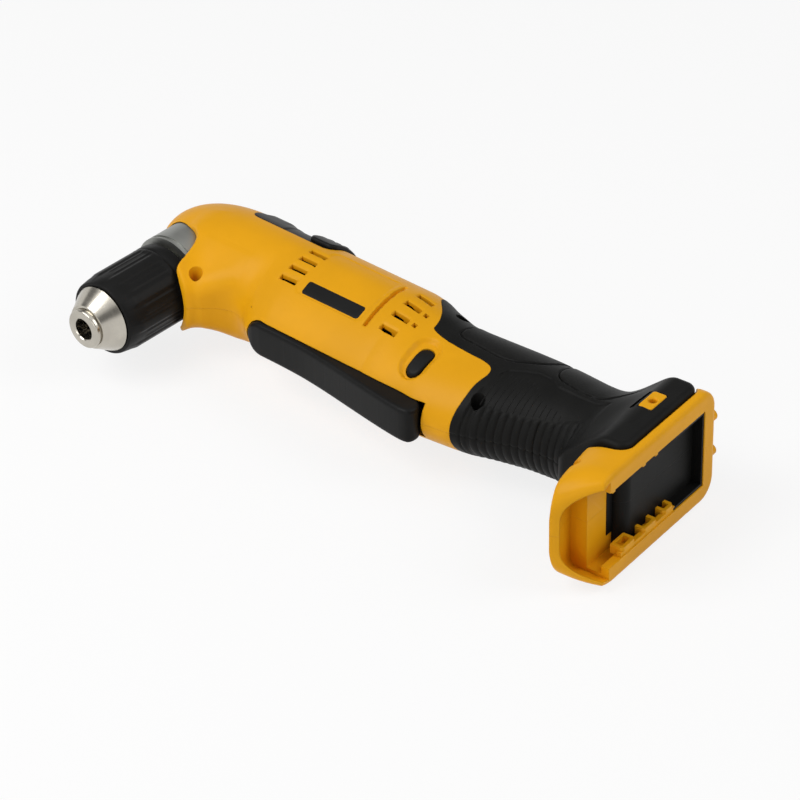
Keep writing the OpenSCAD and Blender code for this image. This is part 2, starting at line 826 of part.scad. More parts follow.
// Threaded ring that turns with the sleeve and drives the jaws
module jaw_nut() {
    color(steel) at_mouth() chuck_frame() difference() {
        translate([0, 0, 27]) cylinder(h = 10.6, r = 17.6);
        translate([0, 0, 26]) cylinder(h = 12.6, r = 15.4);
    }
}

module jaw(k) {
    color(grey) at_mouth() chuck_frame() jaw_line(k) difference() {
        translate([0, 0, 17]) cylinder(h = 26, r = jaw_r);
        translate([-6.5, -6, 12]) rotate([0, -jaw_angle, 0]) cube([6, 12, 60]);
    }
}

module jaw_1() {
    jaw(0);
}

module jaw_2() {
    jaw(1);
}

module jaw_3() {
    jaw(2);
}

// Carrier plate with the planet pins
module planet_carrier() {
    color(grey) at_mouth() {
        along_x(33, planet_x0 - 1.2, seat_r - 5);
        for (k = [0:2]) rotate([120 * k, 0, 0]) translate([0, 0, planet_c])
            along_x(planet_x0 - 2, planet_x0 + planet_w, 2);
    }
}

module planet(k) {
    color(steel) at_mouth() rotate([120 * k, 0, 0]) translate([0, 0, planet_c]) on_x(planet_x0)
        rotate([0, 0, 180]) difference() {
            linear_extrude(planet_w) gear2d(planet_n, gear_m);
            translate([0, 0, -1]) cylinder(h = planet_w + 2, r = 2 + run_gap);
        }
}

module planet_1() {
    planet(0);
}

module planet_2() {
    planet(1);
}

module planet_3() {
    planet(2);
}

// Motor shaft with the sun pinion cut on its front end
module motor_shaft() {
    color(steel) at_mouth() {
        on_x(planet_x0 - 0.6) linear_extrude(planet_w + 0.6) gear2d(sun_n, gear_m);
        along_x(planet_x0 + planet_w - 0.5, 137, 2.5);
    }
}

module armature_core() {
    color([0.45, 0.45, 0.46]) at_mouth() difference() {
        on_x(80) linear_extrude(32) difference() {
            circle(r = core_r);
            for (i = [0:9]) rotate(36 * i) translate([wire_c, 0]) circle(r = 0.0974 * can_r);
            for (i = [0:9]) rotate(36 * i) translate([wire_c + 1, -0.5]) square([3, 1]);
        }
        along_x(70, 130, 2.5);
    }
}

module armature_windings() {
    color(copper) at_mouth() {
        tube_x(76.6, 80, core_r - 0.7, 2.5);
        tube_x(112, 115.4, core_r - 0.7, 2.5);
        for (i = [0:9]) rotate([36 * i, 0, 0]) translate([0, 0, wire_c]) along_x(79, 113, 0.082 * can_r);
    }
}

module commutator() {
    color(copper) at_mouth() difference() {
        along_x(116.4, 127.6, comm_r);
        along_x(110, 130, 2.5);
        for (i = [0:9]) rotate([36 * i, 0, 0]) box([116, comm_r - 1, -0.25], [128, comm_r + 2, 0.25]);
    }
}

module motor_fan() {
    color([0.11, 0.11, 0.12]) at_mouth() {
        tube_x(58, 60, 0.9 * can_r, 2.5);
        tube_x(60, 67, 5, 2.5);
        for (i = [0:11]) rotate([30 * i, 0, 0]) box([59.5, 4.5, -0.7], [67, 0.88 * can_r, 0.7]);
    }
}

housing_left();
housing_right();
grip_left();
grip_right();
housing_screws();
hook_inserts();
terminal_block();
terminal_blades();
gear_case();
spindle_bearing();
top_bearing();
pinion_bearing();
ring_gear();
motor_plate();
motor_can();
motor_magnets();
brush_ring();
brushes();
switch_body();
power_leads();
selector_track();
speed_selector();
shift_fork();
direction_button();
paddle();
paddle_pin();
switch_plunger();
spindle();
bevel_gear();
chuck_body();
chuck_screw();
chuck_sleeve();
jaw_nut();
jaw_1();
jaw_2();
jaw_3();
bevel_pinion();
planet_carrier();
planet_1();
planet_2();
planet_3();
motor_shaft();
armature_core();
armature_windings();
commutator();
motor_fan();
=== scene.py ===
"""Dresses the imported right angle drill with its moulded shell, rubber grip, controls, chuck and finishes."""
import math

import bpy
import numpy as np
from bpy.props import FloatProperty, FloatVectorProperty, IntProperty, PointerProperty
from bpy.types import Operator, Panel, PropertyGroup
from mathutils import Matrix, Vector


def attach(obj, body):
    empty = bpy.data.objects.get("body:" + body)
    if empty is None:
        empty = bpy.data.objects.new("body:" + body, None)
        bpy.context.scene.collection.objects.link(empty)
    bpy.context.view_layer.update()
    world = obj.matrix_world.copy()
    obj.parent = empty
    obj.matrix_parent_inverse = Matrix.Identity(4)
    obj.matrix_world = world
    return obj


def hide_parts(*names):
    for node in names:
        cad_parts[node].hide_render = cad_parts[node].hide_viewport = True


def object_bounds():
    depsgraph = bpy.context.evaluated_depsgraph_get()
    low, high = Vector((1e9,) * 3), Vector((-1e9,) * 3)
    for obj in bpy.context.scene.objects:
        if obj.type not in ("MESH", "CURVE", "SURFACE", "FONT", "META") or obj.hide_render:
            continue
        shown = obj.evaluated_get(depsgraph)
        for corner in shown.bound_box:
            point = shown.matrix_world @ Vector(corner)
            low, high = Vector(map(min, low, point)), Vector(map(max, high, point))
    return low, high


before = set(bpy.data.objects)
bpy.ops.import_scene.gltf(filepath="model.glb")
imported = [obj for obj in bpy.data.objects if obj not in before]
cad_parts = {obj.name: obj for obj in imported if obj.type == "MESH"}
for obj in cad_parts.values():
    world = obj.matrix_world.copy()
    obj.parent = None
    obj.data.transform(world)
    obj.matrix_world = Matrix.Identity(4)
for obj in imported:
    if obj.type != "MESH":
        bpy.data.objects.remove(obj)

bl_info = {
    "name": "Right angle drill",
    "version": (1, 0, 0),
    "blender": (4, 5, 0),
    "location": "View3D > Sidebar > Drill",
    "description": "Builds the visible pieces of a right angle drill around its CAD frame",
    "category": "Object",
}

CAD_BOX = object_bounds()

# Shapes are worked out in millimetres with the barrel axis at y = 0, and moved to the frame at the end
MM = 0.001
MOUTH_DROP = 90.3
SEAM = 0.012

# Body: place along the barrel, upper, lower and side half sizes
BARREL_R = 30.2
NOSE_C = 26.0
NOSE_L = 53.0
NOSE_POWER = 2.2
BODY_END = 277.0
ROOM_X = (-14, 264)
ROOM_STEP = 1.7
SCOOP_STEP = 1.1
SADDLE_STEP = 1.0
STATIONS = (
    (14, 30.2, 30.2, 30.2), (44, 30.2, 30.2, 30.2), (54, 30.2, 33.0, 30.2), (60, 30.2, 38.5, 30.2),
    (66, 30.2, 41.5, 30.2), (74, 30.2, 43.6, 30.2), (134, 30.2, 44.2, 30.2), (141, 29.3, 44.2, 29.3),
    (148, 26.8, 44.0, 27.4),
    (163, 22.8, 43.0, 25.0), (172, 23.0, 44.0, 24.5), (192, 25.5, 40.9, 24.5), (202, 26.7, 38.2, 24.5),
    (213, 27.6, 33.8, 24.5), (226, 27.9, 28.8, 24.5), (244, 27.2, 25.4, 24.3), (256, 27.4, 27.0, 25.1),
    (266, 29.2, 33.0, 27.5), (276, 30.2, 37.0, 28.5),
)
KEEL_POWER = ((46, 2.0), (58, 1.6), (138, 1.6), (163, 2.0))

# Head: chuck shield, web behind it and window over the gear case
SHIELD_R = 25.6
SHIELD_RIM = ((6, 37.5), (12.8, 39.0), (16, 40.0), (20, 41.0), (25.6, 42.2))
WEB = ((8, -38), (24, -41.5), (31, -39), (44, -27), (46, 0), (4, 0), (4, -30))
WINDOW_EDGE = ((-42, 16.3), (-31, 14.0), (-15, 10.5))
WINDOW_TOP = ((-22, -8.9), (-15.5, -11.2), (-9.6, -12.3), (-1.6, -13.8), (5, -15.1), (8, -15.8))
WINDOW_CORNER = 9.0

# Battery foot: own frame on the battery face, outward direction first
FOOT_O = (296.0, 7.2)
FOOT_TILT = math.radians(5.4)
FOOT_W = 30.8
FOOT_PTS = ((-0.1, -63.4), (-0.1, 30), (-7, 30), (-9, 22.4), (-27, 21), (-31, 12), (-32, -24), (-27, -44), (-21, -78))
SCOOP_PTS = ((20, -50), (20, -62), (2, -74), (-14.5, -92), (-21, -79.5), (-26, -50))
SLOT_DEPTH = 12.5
RAIL_GAP = 21.3
BLADES_Z = (-10.5, 0.0, 10.5)
SLOT_END = 20.4
BUMPER_TOP = 32.6
BUMPER = (-5.6, -38.5, 24.0)
HOOK = (-16.2, 0.25)
HOOK_W = 7.6
HOOK_H = 14.0
HOOK_TOP = 32.7
HOOK_SEAT = 22.9
HOOK_CUT = (22.8, 44)
LUG = (-5.0, 30.7, 9.9)
LUG_R = 3.0
LUG_HALF = 3.7

# Rubber: outline from the side, thumb pads and the ribbed field under them
ZONE = (
    (138, 60), (138.5, 30), (139.8, 18), (143.5, 13.2), (149.7, 7.4), (154.4, 0.5), (155.9, -4.5),
    (156.2, -6.6), (158.6, -7.6), (165, -8.8), (174.3, -9.3), (183, -9.9), (191.5, -9.9), (197.2, -11.6),
    (198.7, -15.5), (197.6, -19.5), (196.6, -24), (196.5, -30), (195.7, -35.5), (194.8, -40.5),
    (194.5, -60), (264, -60), (277, -40), (277, 60),
)
PAD_FRONT = (
    (171, 60), (168.5, 8), (167.6, 2), (169.5, -2), (181, -2.2), (195.6, -3.5), (203, -1.6),
    (207, 0.7), (215.4, 6.3), (219, 14), (220, 60),
)
PAD_BACK = (
    (223, 60), (223.2, 20), (223.8, 14.6), (224.5, 6.1), (227, 2.5), (230.9, 0.6), (241.9, -0.6),
    (252, -0.6), (256, 0.3), (260.2, 6.4), (262, 14), (262, 60),
)
FIELD_TOP = ((203, -12.5), (205, -8), (211.8, -4), (218.6, -1.2), (225.5, -1), (232, -3.9), (240, -3.6), (255, -3.7),
             (261, -1))
LINE_TOP = ((203, -10.0), (208, -7.0), (219, -4.5), (223, -6.0), (231, -11.0), (240, -12.0), (256, -16.0))
RIB_TOP = ((203, -28.4), (257, -13.8))
LINES_X = (204.7, 250.0)
RUBBER_T = 1.7
PAD_LIFT = 0.3
PAD_GROOVE = 0.8
FIELD_DEPTH = 0.6
LINE_HALF = 0.32
LINE_LIFT = 0.34
LINE_ROWS = 14
BUMPER_BLEND = 6.0

# Screws: place along and across the barrel
SCREWS = ((24.5, -35.0), (157.5, 13.2), (203.0, -28.3), (278.0, -48.5))
SCREW_SEAT = 6.0
BOSS_R = 5.4
BORE_R = 3.45
LINING_R = 4.3

# Vents: near end, height, length and half width
VENTS = [(69.4 - 0.65 * i, 0.8 - 6.55 * i, 10.4, 1.25) for i in range(4)]
VENTS += [(135.3 - 0.3 * i, 6.0 - 8.6 * i, 9.6, 1.4) for i in range(4)]
VENTS += [(147.0, -2.8 - 8.3 * i, 2.4, 1.2) for i in range(2)]
PANEL = (79.0, 123.0, -22.9, 9.0)
PANEL_DEPTH = 0.35
LABEL = (83.6, 120.6, -22.0, -15.1)
GROOVE_X = 126.4
GROOVE_DEPTH = 2.2
VENT_DEPTH = 0.9
DISH_DEPTH = 2.0

# Switch gear
BUTTON = (163.5, -24.3)
BUTTON_W = 8.0
BUTTON_H = 16.0
PIVOT = (62.0, -32.0)
PIN_HALF = 11.2
PADDLE_W = 9.4
PADDLE_PTS = (
    (62, -36), (168, -36), (175.6, -38.6), (178.6, -42.6), (178.7, -47.4), (176.2, -50.5), (166, -50.2),
    (146, -47.8), (112, -43.0), (92, -41.6), (62, -41.6),
)
PADDLE_FRONT = 72.7
PADDLE_ARM = (74.0, -37.2)
ARM_R = 3.1
ARM_HALF = 6.0
PADDLE_GAP = 0.4
SLOT_X = (72.8, 179.6)
SADDLE = (21.0, 76.0, math.radians(75))
TRACK_R = (28.3, 30.25)
TRACK_SLOT = (46, 74, 3.4)
KNOB = (58.5, 75.0, math.radians(70.5))
KNOB_R = (29.9, 32.2)
RIDGE_X = 59.5
RIDGE_PITCH = 4.6
RIDGE_H = 0.55
STEM = (60, 73, -3, 3)
STEM_Y = (25.2, 30.6)

# Chuck, measured from the mouth
MOUTH_R = 5.65
SLEEVE_R = 20.9
CONE_LEN = 12.8
CONE_R = 17.4
CHUCK_LEN = 59.6
JAW_R = 2.5
JAW_C = 2.5
JAW_ANGLE = math.radians(14)
GEAR_ROOM = ((0.02, -6), (23.4, -6), (23.4, 60.4), (22.9, 60.4), (22.9, 82.3), (0.02, 82.3))

# Camera of the photograph's view, in the frame's metres
CAMERA_AT = (1.148540, -1.019883, 1.012377)
CAMERA_RIGHT = (0.744536, 0.667322, -0.018650)
CAMERA_UP = (-0.368705, 0.434335, 0.821833)
CAMERA_BACK = (0.556528, -0.605008, 0.569423)

# Lamps: name, place, aim and size
LAMPS = (
    ("key_lamp", (-0.35, -0.75, 1.15), (0.13, 0.08, 0.0), 0.9),
    ("fill_lamp", (0.95, 0.55, 0.85), (0.15, 0.08, 0.0), 0.7),
    ("front_lamp", (0.55, -1.25, 0.45), (0.12, 0.05, 0.0), 0.6),
)
FLOOR_GLOW = 0.82
BAND_DIM = 0.78


# Shapes as fields: negative inside, in millimetres
def ease(x, a, b):
    """Smooth step from 0 at a to 1 at b."""
    t = np.clip((x - a) / (b - a), 0, 1)
    return t * t * (3 - 2 * t)


def smooth_min(a, b, k):
    """Union with a fillet."""
    h = np.clip(0.5 + 0.5 * (b - a) / k, 0, 1)
    return b + (a - b) * h - k * h * (1 - h)


def smooth_max(a, b, k):
    """Intersection with a rounded edge."""
    return -smooth_min(-a, -b, k)


def outline_field(x, y, pts):
    """Signed distance to a closed outline."""
    best, inside = None, False
    for (ax, ay), (bx, by) in zip(pts, pts[1:] + pts[:1]):
        ex, ey = bx - ax, by - ay
        wx, wy = x - ax, y - ay
        t = np.clip((wx * ex + wy * ey) / (ex * ex + ey * ey), 0, 1)
        d = (wx - t * ex) ** 2 + (wy - t * ey) ** 2
        best = d if best is None else np.minimum(best, d)
        if ey:
            inside = inside ^ (((ay > y) != (by > y)) & (x < ex * (y - ay) / ey + ax))
    return np.sqrt(best) * np.where(inside, -1, 1)


def rounded_outline(pts, rounds=2):
    """Outline with its corners cut back until they look round."""
    for _ in range(rounds):
        pts = tuple(
            (a[0] + t * (b[0] - a[0]), a[1] + t * (b[1] - a[1]))
            for a, b in zip(pts, pts[1:] + pts[:1])
            for t in (0.25, 0.75)
        )
    return pts


def rect_field(a, b, a0, a1, b0, b1, r):
    """Signed distance to a rectangle with rounded corners."""
    qa = np.abs(a - (a0 + a1) / 2) - (a1 - a0) / 2 + r
    qb = np.abs(b - (b0 + b1) / 2) - (b1 - b0) / 2 + r
    return np.hypot(np.maximum(qa, 0), np.maximum(qb, 0)) + np.minimum(np.maximum(qa, qb), 0) - r


def stadium_field(x, y, w, h):
    """Signed distance to an upright oval with straight sides."""
    return np.hypot(x, np.maximum(np.abs(y) - (h - w) / 2, 0)) - w / 2


def oval_field(y, z, ry, rz, power=2.0):
    """Near distance to an ellipse, or to a fuller or leaner oval."""
    a, b = np.abs(y) / ry, np.abs(z) / rz
    k = np.maximum((a**power + b**power) ** (1 / power), 0.2)
    slope = k ** (1 - power) * np.hypot(a ** (power - 1) / ry, b ** (power - 1) / rz)
    return (k - 1) / np.maximum(slope, 0.005)


def along(x, pairs):
    """Value read from pairs of place and value."""
    return np.interp(x, [p[0] for p in pairs], [p[1] for p in pairs])


STATION_STEP = 0.5
STATION_LINE = np.arange(NOSE_C, BODY_END + STATION_STEP, STATION_STEP)
SOFTEN = np.hanning(19)[1:-1] / np.hanning(19).sum()


def station_row(column):
    """One half size along the body, with its corners softened."""
    pad = len(SOFTEN) // 2
    wide = STATION_STEP * np.arange(-pad, len(STATION_LINE) + pad) + NOSE_C
    return np.convolve(np.interp(wide, [s[0] for s in STATIONS], [s[column] for s in STATIONS]), SOFTEN, "valid")


STATION_ROWS = [station_row(c) for c in (1, 2, 3)]


def barrel_field(x, y, z, inset=0.0):
    """Nose, barrel, keel and handle in one loft."""
    top, low, side = (np.interp(x, STATION_LINE, row) - inset for row in STATION_ROWS)
    rear = oval_field(y, z, np.where(y > 0, top, low), side, np.where(y > 0, 2.0, along(x, KEEL_POWER)))
    length, radius, power = NOSE_L - inset, BARREL_R - inset, NOSE_POWER
    a, b = np.maximum(NOSE_C - x, 0) / length, np.sqrt(y * y + z * z) / radius
    slope = power * np.hypot(a ** (power - 1) / length, b ** (power - 1) / radius)
    front = (a**power + b**power - 1) / np.maximum(slope, 0.02)
    return np.maximum(np.where(x < NOSE_C, front, rear), x - BODY_END)


def head_field(x, y, z):
    """Barrel with the chuck shield and the web behind it."""
    rim = along(x, SHIELD_RIM)
    shield = np.maximum(smooth_max(np.sqrt(x * x + z * z) - SHIELD_R, -(y + rim), 2.5), y + 4)
    shield = smooth_max(shield, 6 - x, 12)
    web = smooth_max(outline_field(x, y, WEB), np.abs(z) - np.clip(15 + 0.4 * (y + 35), 13, 22), 8)
    f = smooth_min(smooth_min(barrel_field(x, y, z), shield, 8), web, 8)
    window = smooth_max(x - along(y, WINDOW_EDGE), y - along(x, WINDOW_TOP), WINDOW_CORNER)
    return smooth_max(f, -window, 1.5)


def foot_frame(x, y):
    """Place in the frame of the battery foot."""
    c, s = math.cos(FOOT_TILT), math.sin(FOOT_TILT)
    dx, dy = x - FOOT_O[0], y - FOOT_O[1]
    return dx * c + dy * s, dy * c - dx * s


def from_foot(u, v):
    """Place along and across the barrel of a place in the foot's frame."""
    c, s = math.cos(FOOT_TILT), math.sin(FOOT_TILT)
    return FOOT_O[0] + u * c - v * s, FOOT_O[1] + u * s + v * c


def foot_plan(v, z, inset=0.0):
    """Outline of the foot seen from the battery face."""
    near = rect_field(z, v, -FOOT_W, FOOT_W, -78, 60, 24)
    return np.maximum(near, rect_field(z, v, -FOOT_W, FOOT_W, -120, 30, 11)) + inset


def foot_field(x, y, z):
    """Battery foot with the two lugs at its far end."""
    u, v = foot_frame(x, y)
    f = smooth_max(outline_field(u, v, FOOT_PTS), foot_plan(v, z), 3)
    f = smooth_max(f, (np.abs(z) - FOOT_W - 0.55 * (u + 16)) * 0.88, 5)
    lug = np.maximum(np.hypot(u - LUG[0], np.abs(z) - LUG[2]) - LUG_R, np.abs(v - LUG[1]) - LUG_HALF)
    return smooth_min(f, lug, 1.5)


ZONE_SOFT = rounded_outline(ZONE)


def zone_field(x, y):
    """Area of the shell that the rubber covers, seen from the side."""
    return outline_field(x, y, ZONE_SOFT)


def dents(x, y, z):
    """How far the yellow surface lies below the plain body: panel, groove, vents and button dish."""
    panel = rect_field(x, y, *PANEL, 4)
    depth = PANEL_DEPTH * (1 - ease(panel, -0.4, 0.4))
    groove = (1 - ease(np.abs(x - GROOVE_X), 0.7, 1.3)) * ease(y, -24, -21) * (1 - ease(y, 5.5, 8.5))
    depth = depth + GROOVE_DEPTH * groove
    for x0, y0, length, w in VENTS:
        inside = ease(x, x0 - 0.5, x0 + 0.3) * (1 - ease(x, x0 + length - 0.3, x0 + length + 0.5))
        slope = np.clip((y0 + 2.6 - y) / 2.6, 0, 1) * ease(y, y0 - w - 0.5, y0 - w + 0.2)
        depth = depth + VENT_DEPTH * inside * slope * (length > 5)
    dish = stadium_field(x - BUTTON[0] + 0.8, y - BUTTON[1] - 1.0, BUTTON_W, BUTTON_H)
    return (depth + DISH_DEPTH * (1 - ease(dish, 1.6, 4.4))) * (np.abs(z) > 8)


def house_field(x, y, z):
    """Yellow shell, set back under the rubber."""
    barrel = barrel_field(x, y, z)
    body = np.maximum(head_field(x, y, z) + dents(x, y, z), np.minimum(-zone_field(x, y), barrel + RUBBER_T))
    outer = smooth_min(barrel, bumper_field(x, y, z), BUMPER_BLEND)
    edge = bumper_print(x, y)
    foot = foot_field(x, y, z) + 1.2 * (1 - ease(edge, 0.2, 1.5))
    foot = np.maximum(foot, np.minimum(-np.minimum(edge, zone_field(x, y)), outer + RUBBER_T))
    return smooth_min(body, foot, 1.5)


def bumper_field(x, y, z):
    """Block of rubber on the side of the foot and the steep wall that leads to it."""
    u, v = foot_frame(x, y)
    side = np.abs(z) - BUMPER_TOP
    block = smooth_max(rect_field(u, v, -45, *BUMPER, 6), side, 3.5)
    return smooth_max(block, (side - 0.85 * (u + 20)) * 0.76, 2.5)


def bumper_print(x, y):
    """Area of the foot's side that the bumper covers."""
    u, v = foot_frame(x, y)
    return rect_field(u, v, -60, *BUMPER, 6)


def grip_relief(x, y, settings):
    """Height of pads, ribs and sunk field over the plain rubber."""
    front, back = (outline_field(x, y, rounded_outline(p)) for p in (PAD_FRONT, PAD_BACK))
    pads = np.minimum(front, back)
    relief = PAD_LIFT * (1 - ease(pads, -0.5, 0.2)) - PAD_GROOVE * np.exp(-((pads - 0.5) / 0.45) ** 2)
    sunk = ease(x, 201.5, 203.5) * (1 - ease(x, 259.5, 262)) * (1 - ease(y - along(x, FIELD_TOP), -0.9, 0.5))
    relief = relief - FIELD_DEPTH * sunk
    below = along(x, RIB_TOP) - y
    ribs = ease(below, 0, 2.5) * ease(x, 203, 205) * (1 - ease(x, 255, 257))
    wave = np.abs(np.sin(math.pi * (x - 204.2) / (settings.rib_pitch / MM)))
    relief = relief + ribs * (FIELD_DEPTH - settings.rib_depth / MM * (1 - wave**0.4))
    band = (1 - ease(y, -24, -19)) * (1 - ease(x, 206, 210))
    return relief - 0.6 * band * np.exp(-((zone_field(x, y) + 4.6) / 0.5) ** 2)


def rubber_outer(x, y, z, settings):
    """Outside of the rubber with its relief and bumper."""
    plain = barrel_field(x, y, z) - 0.12 + 0.35 * np.exp(-((z / 0.6) ** 2))
    return smooth_min(plain - grip_relief(x, y, settings), bumper_field(x, y, z), BUMPER_BLEND)


def rubber_field(x, y, z, settings):
    """One half of the rubber grip with its bumper."""
    u, v = foot_frame(x, y)
    slit = np.maximum(rect_field(u, v, -23.3, -21.3, -9, 8.5, 0.9), BUMPER_TOP - 3.4 - np.abs(z))
    area = np.minimum(zone_field(x, y), bumper_print(x, y)) + 0.14
    f = np.maximum(np.maximum(rubber_outer(x, y, z, settings), area), 0.06 - house_field(x, y, z))
    return np.maximum(np.maximum(f, -slit), x - 296)


def surface_z(field, x, y):
    """Height over the parting plane where a field crosses zero at each place."""
    low, high = np.full(np.shape(x), 2.0), np.full(np.shape(x), 33.0)
    for _ in range(30):
        middle = (low + high) / 2
        out = field(x, y, middle) > 0
        low, high = np.where(out, low, middle), np.where(out, middle, high)
    return low


PADDLE_SOFT = rounded_outline(PADDLE_PTS)


def paddle_field(x, y, z):
    """Switch paddle with its round front end and the arm that reaches its pin."""
    plan = np.hypot(np.minimum(x - PADDLE_FRONT, 0), z) - PADDLE_W
    f = smooth_max(outline_field(x, y, PADDLE_SOFT), plan, 2.4)
    ex, ey = PADDLE_ARM[0] - PIVOT[0], PADDLE_ARM[1] - PIVOT[1]
    t = np.clip(((x - PIVOT[0]) * ex + (y - PIVOT[1]) * ey) / (ex * ex + ey * ey), 0, 1)
    arm = np.hypot(x - PIVOT[0] - t * ex, y - PIVOT[1] - t * ey) - ARM_R
    f = smooth_min(f, smooth_max(arm, np.abs(z) - ARM_HALF, 1), 1)
    f = np.maximum(f, 2.06 - np.hypot(x - PIVOT[0], y - PIVOT[1]))
    room = np.maximum(np.maximum(np.abs(x - 122) - 22, -40.5 - y), np.abs(z) - PADDLE_W + 2)
    return np.maximum(f, -room)


def button_field(x, y, z):
    """Cross bolt with a rounded oval cap on each side, flush with the body."""
    oval = stadium_field(x - BUTTON[0], y - BUTTON[1], BUTTON_W, BUTTON_H)
    cap = smooth_max(oval, barrel_field(x, y, z) + 0.5, 1.3)
    cap = np.maximum(smooth_max(cap, np.abs(z) - 21, 1.0), 13.4 - np.abs(z))
    rod = np.maximum(np.hypot(x - BUTTON[0], y - BUTTON[1] - 5) - 2.5, np.abs(z) - 14)
    tongue = np.maximum(rect_field(x, y, BUTTON[0] - 1.5, BUTTON[0] + 1.5, BUTTON[1] + 5, BUTTON[1] + 14.6, 0.3),
                        np.abs(z) - 1.5)
    return np.minimum(np.minimum(cap, rod), tongue)


def saddle_plan(x, y, z, place, r):
    """Outline of a piece that lies on the round of the barrel."""
    arc = np.arctan2(np.abs(z), y) * BARREL_R
    return rect_field(x, arc, place[0], place[1], -place[2] * BARREL_R, place[2] * BARREL_R, r)


def track_field(x, y, z):
    """Track of the speed selector with its front bump and the slot for the fork."""
    rho = np.hypot(y, z)
    bump = (1 - ease(np.abs(x - 31), 5, 9)) * (1 - ease(np.abs(z), 22, 27))
    top = TRACK_R[1] - 0.45 * ease(x, 43, 45) + bump
    f = smooth_max(saddle_plan(x, y, z, SADDLE, 6) + 0.05, rho - top, 0.7)
    slot = np.maximum(np.maximum(TRACK_SLOT[0] - x, x - TRACK_SLOT[1]), np.abs(z) - TRACK_SLOT[2])
    return np.maximum(np.maximum(f, TRACK_R[0] - rho), -slot)


def knob_field(x, y, z):
    """Sliding knob with three finger ridges."""
    rho = np.hypot(y, z)
    wave = np.abs(np.mod(x - RIDGE_X, RIDGE_PITCH) - RIDGE_PITCH / 2)
    ridge = (1 - ease(wave, 0.5, 1.2)) * (np.abs(x - 66.4) < 6.9)
    top = KNOB_R[1] + RIDGE_H * ridge * (1 - ease(np.arctan2(np.abs(z), y), 0.7, 0.85))
    f = smooth_max(saddle_plan(x, y, z, KNOB, 4), rho - top, 1.6)
    f = np.maximum(f, KNOB_R[0] - rho)
    stem = np.maximum(rect_field(x, z, *STEM, 0.5), np.maximum(STEM_Y[0] - y, y - STEM_Y[1]))
    return np.minimum(f, stem)


def insert_field(x, y, z):
    """Belt hook insert with rounded corners and a hole."""
    u, v = foot_frame(x, y)
    side = rect_field(u, v, HOOK[0] - HOOK_W / 2, HOOK[0] + HOOK_W / 2,
                      HOOK[1] - HOOK_H / 2, HOOK[1] + HOOK_H / 2, 1.5)
    f = smooth_max(side, np.maximum(z - HOOK_TOP, HOOK_SEAT - z), 0.7)
    hole = np.maximum(np.hypot(u - HOOK[0], v - HOOK[1]) - 2 - 0.5 * ease(z, 31.9, 32.6), 24.6 - z)
    return np.maximum(f, -hole)


def hollow_field(x, y, z, wall):
    """Room inside the shell, around the screw posts."""
    inset = np.where(x < 140, wall, wall + 1.8)
    f = np.maximum(barrel_field(x, y, z) + inset, np.maximum(x - ROOM_X[1], ROOM_X[0] - x))
    u, v = foot_frame(x, y)
    f = np.minimum(f, np.maximum(rect_field(u, v, -SLOT_DEPTH - 12, -SLOT_DEPTH - 4, -30, 18, 1), np.abs(z) - 14))
    f = np.minimum(f, np.maximum(rect_field(x, y, 255, 277, -12, 14, 1), np.abs(z) - 12))
    for sx, sy in SCREWS:
        f = np.maximum(f, BOSS_R - np.hypot(x - sx, y - sy))
    return f


def scoop_field(x, y, z):
    """Open end of the foot where a battery slides in."""
    u, v = foot_frame(x, y)
    side = outline_field(u, v, SCOOP_PTS) + 2.6
    return np.maximum(smooth_max(side, foot_plan(v, z, 2.8), 5), v + 58.5)


# Meshes
def untwist(f):
    """Turns the weakest corner of each grid square whose diagonals disagree, so that no two sheets share an edge."""
    for _ in range(20):
        turned = 0
        for axis in range(3):
            one, two = (axis + 1) % 3, (axis + 2) % 3
            corners = []
            for i, j in ((0, 0), (1, 0), (1, 1), (0, 1)):
                cut = [slice(None)] * 3
                cut[one] = slice(i, f.shape[one] - 1 + i)
                cut[two] = slice(j, f.shape[two] - 1 + j)
                corners.append(f[tuple(cut)])
            a, b, c, d = (q < 0 for q in corners)
            where = np.argwhere((a == c) & (b == d) & (a != b))
            turned += len(where)
            if len(where):
                sizes = np.stack([np.abs(q[tuple(where.T)]) for q in corners], 1)
                weak = sizes.argmin(1)
                where[:, one] += (weak == 1) | (weak == 2)
                where[:, two] += weak >= 2
                where = np.unique(where, axis=0)
                f[tuple(where.T)] *= -1
        if not turned:
            return f
    return f


def skin(field, low, high, step):
    """Points and four-sided faces where a field crosses zero between two corners, with its creases kept."""
    axes = [np.arange(a, b + step, step) for a, b in zip(low, high)]
    shape = [len(a) for a in axes]
    f = untwist(np.array(np.broadcast_to(field(*np.meshgrid(*axes, indexing="ij", sparse=True)), shape)))
    solid = f < 0
    cells = np.array(shape) - 1
    count = np.zeros(cells, np.int8)
    for corner in np.ndindex(2, 2, 2):
        count += solid[tuple(slice(c, c + n) for c, n in zip(corner, cells))]
    mixed = (count > 0) & (count < 8)
    ids = np.full(cells, -1)
    ids[mixed] = np.arange(mixed.sum())
    cell = np.argwhere(mixed)
    sums = np.zeros((13, len(cell)))
    unit = np.eye(3, dtype=int)
    faces = []
    for axis in range(3):
        one, two = unit[(axis + 1) % 3], unit[(axis + 2) % 3]
        first = np.take(solid, range(shape[axis] - 1), axis)
        edge = np.argwhere(first != np.take(solid, range(1, shape[axis]), axis))
        edge = edge[np.all((edge >= one + two) & (edge < cells), axis=1)]
        ring = [ids[tuple((edge - i * one - j * two).T)] for i, j in ((1, 1), (0, 1), (0, 0), (1, 0))]
        quad = np.stack(ring, 1)
        back = ~first[tuple(edge.T)]
        quad[back] = quad[back][:, ::-1]
        faces.append(quad)
        row = hermite(field, np.array(low, float), step, edge, axis, f)
        for ids_of in ring:
            for k in range(13):
                sums[k] += np.bincount(ids_of, row[k], len(cell))
    return settle(sums, cell, np.array(low, float), step), np.concatenate(faces)


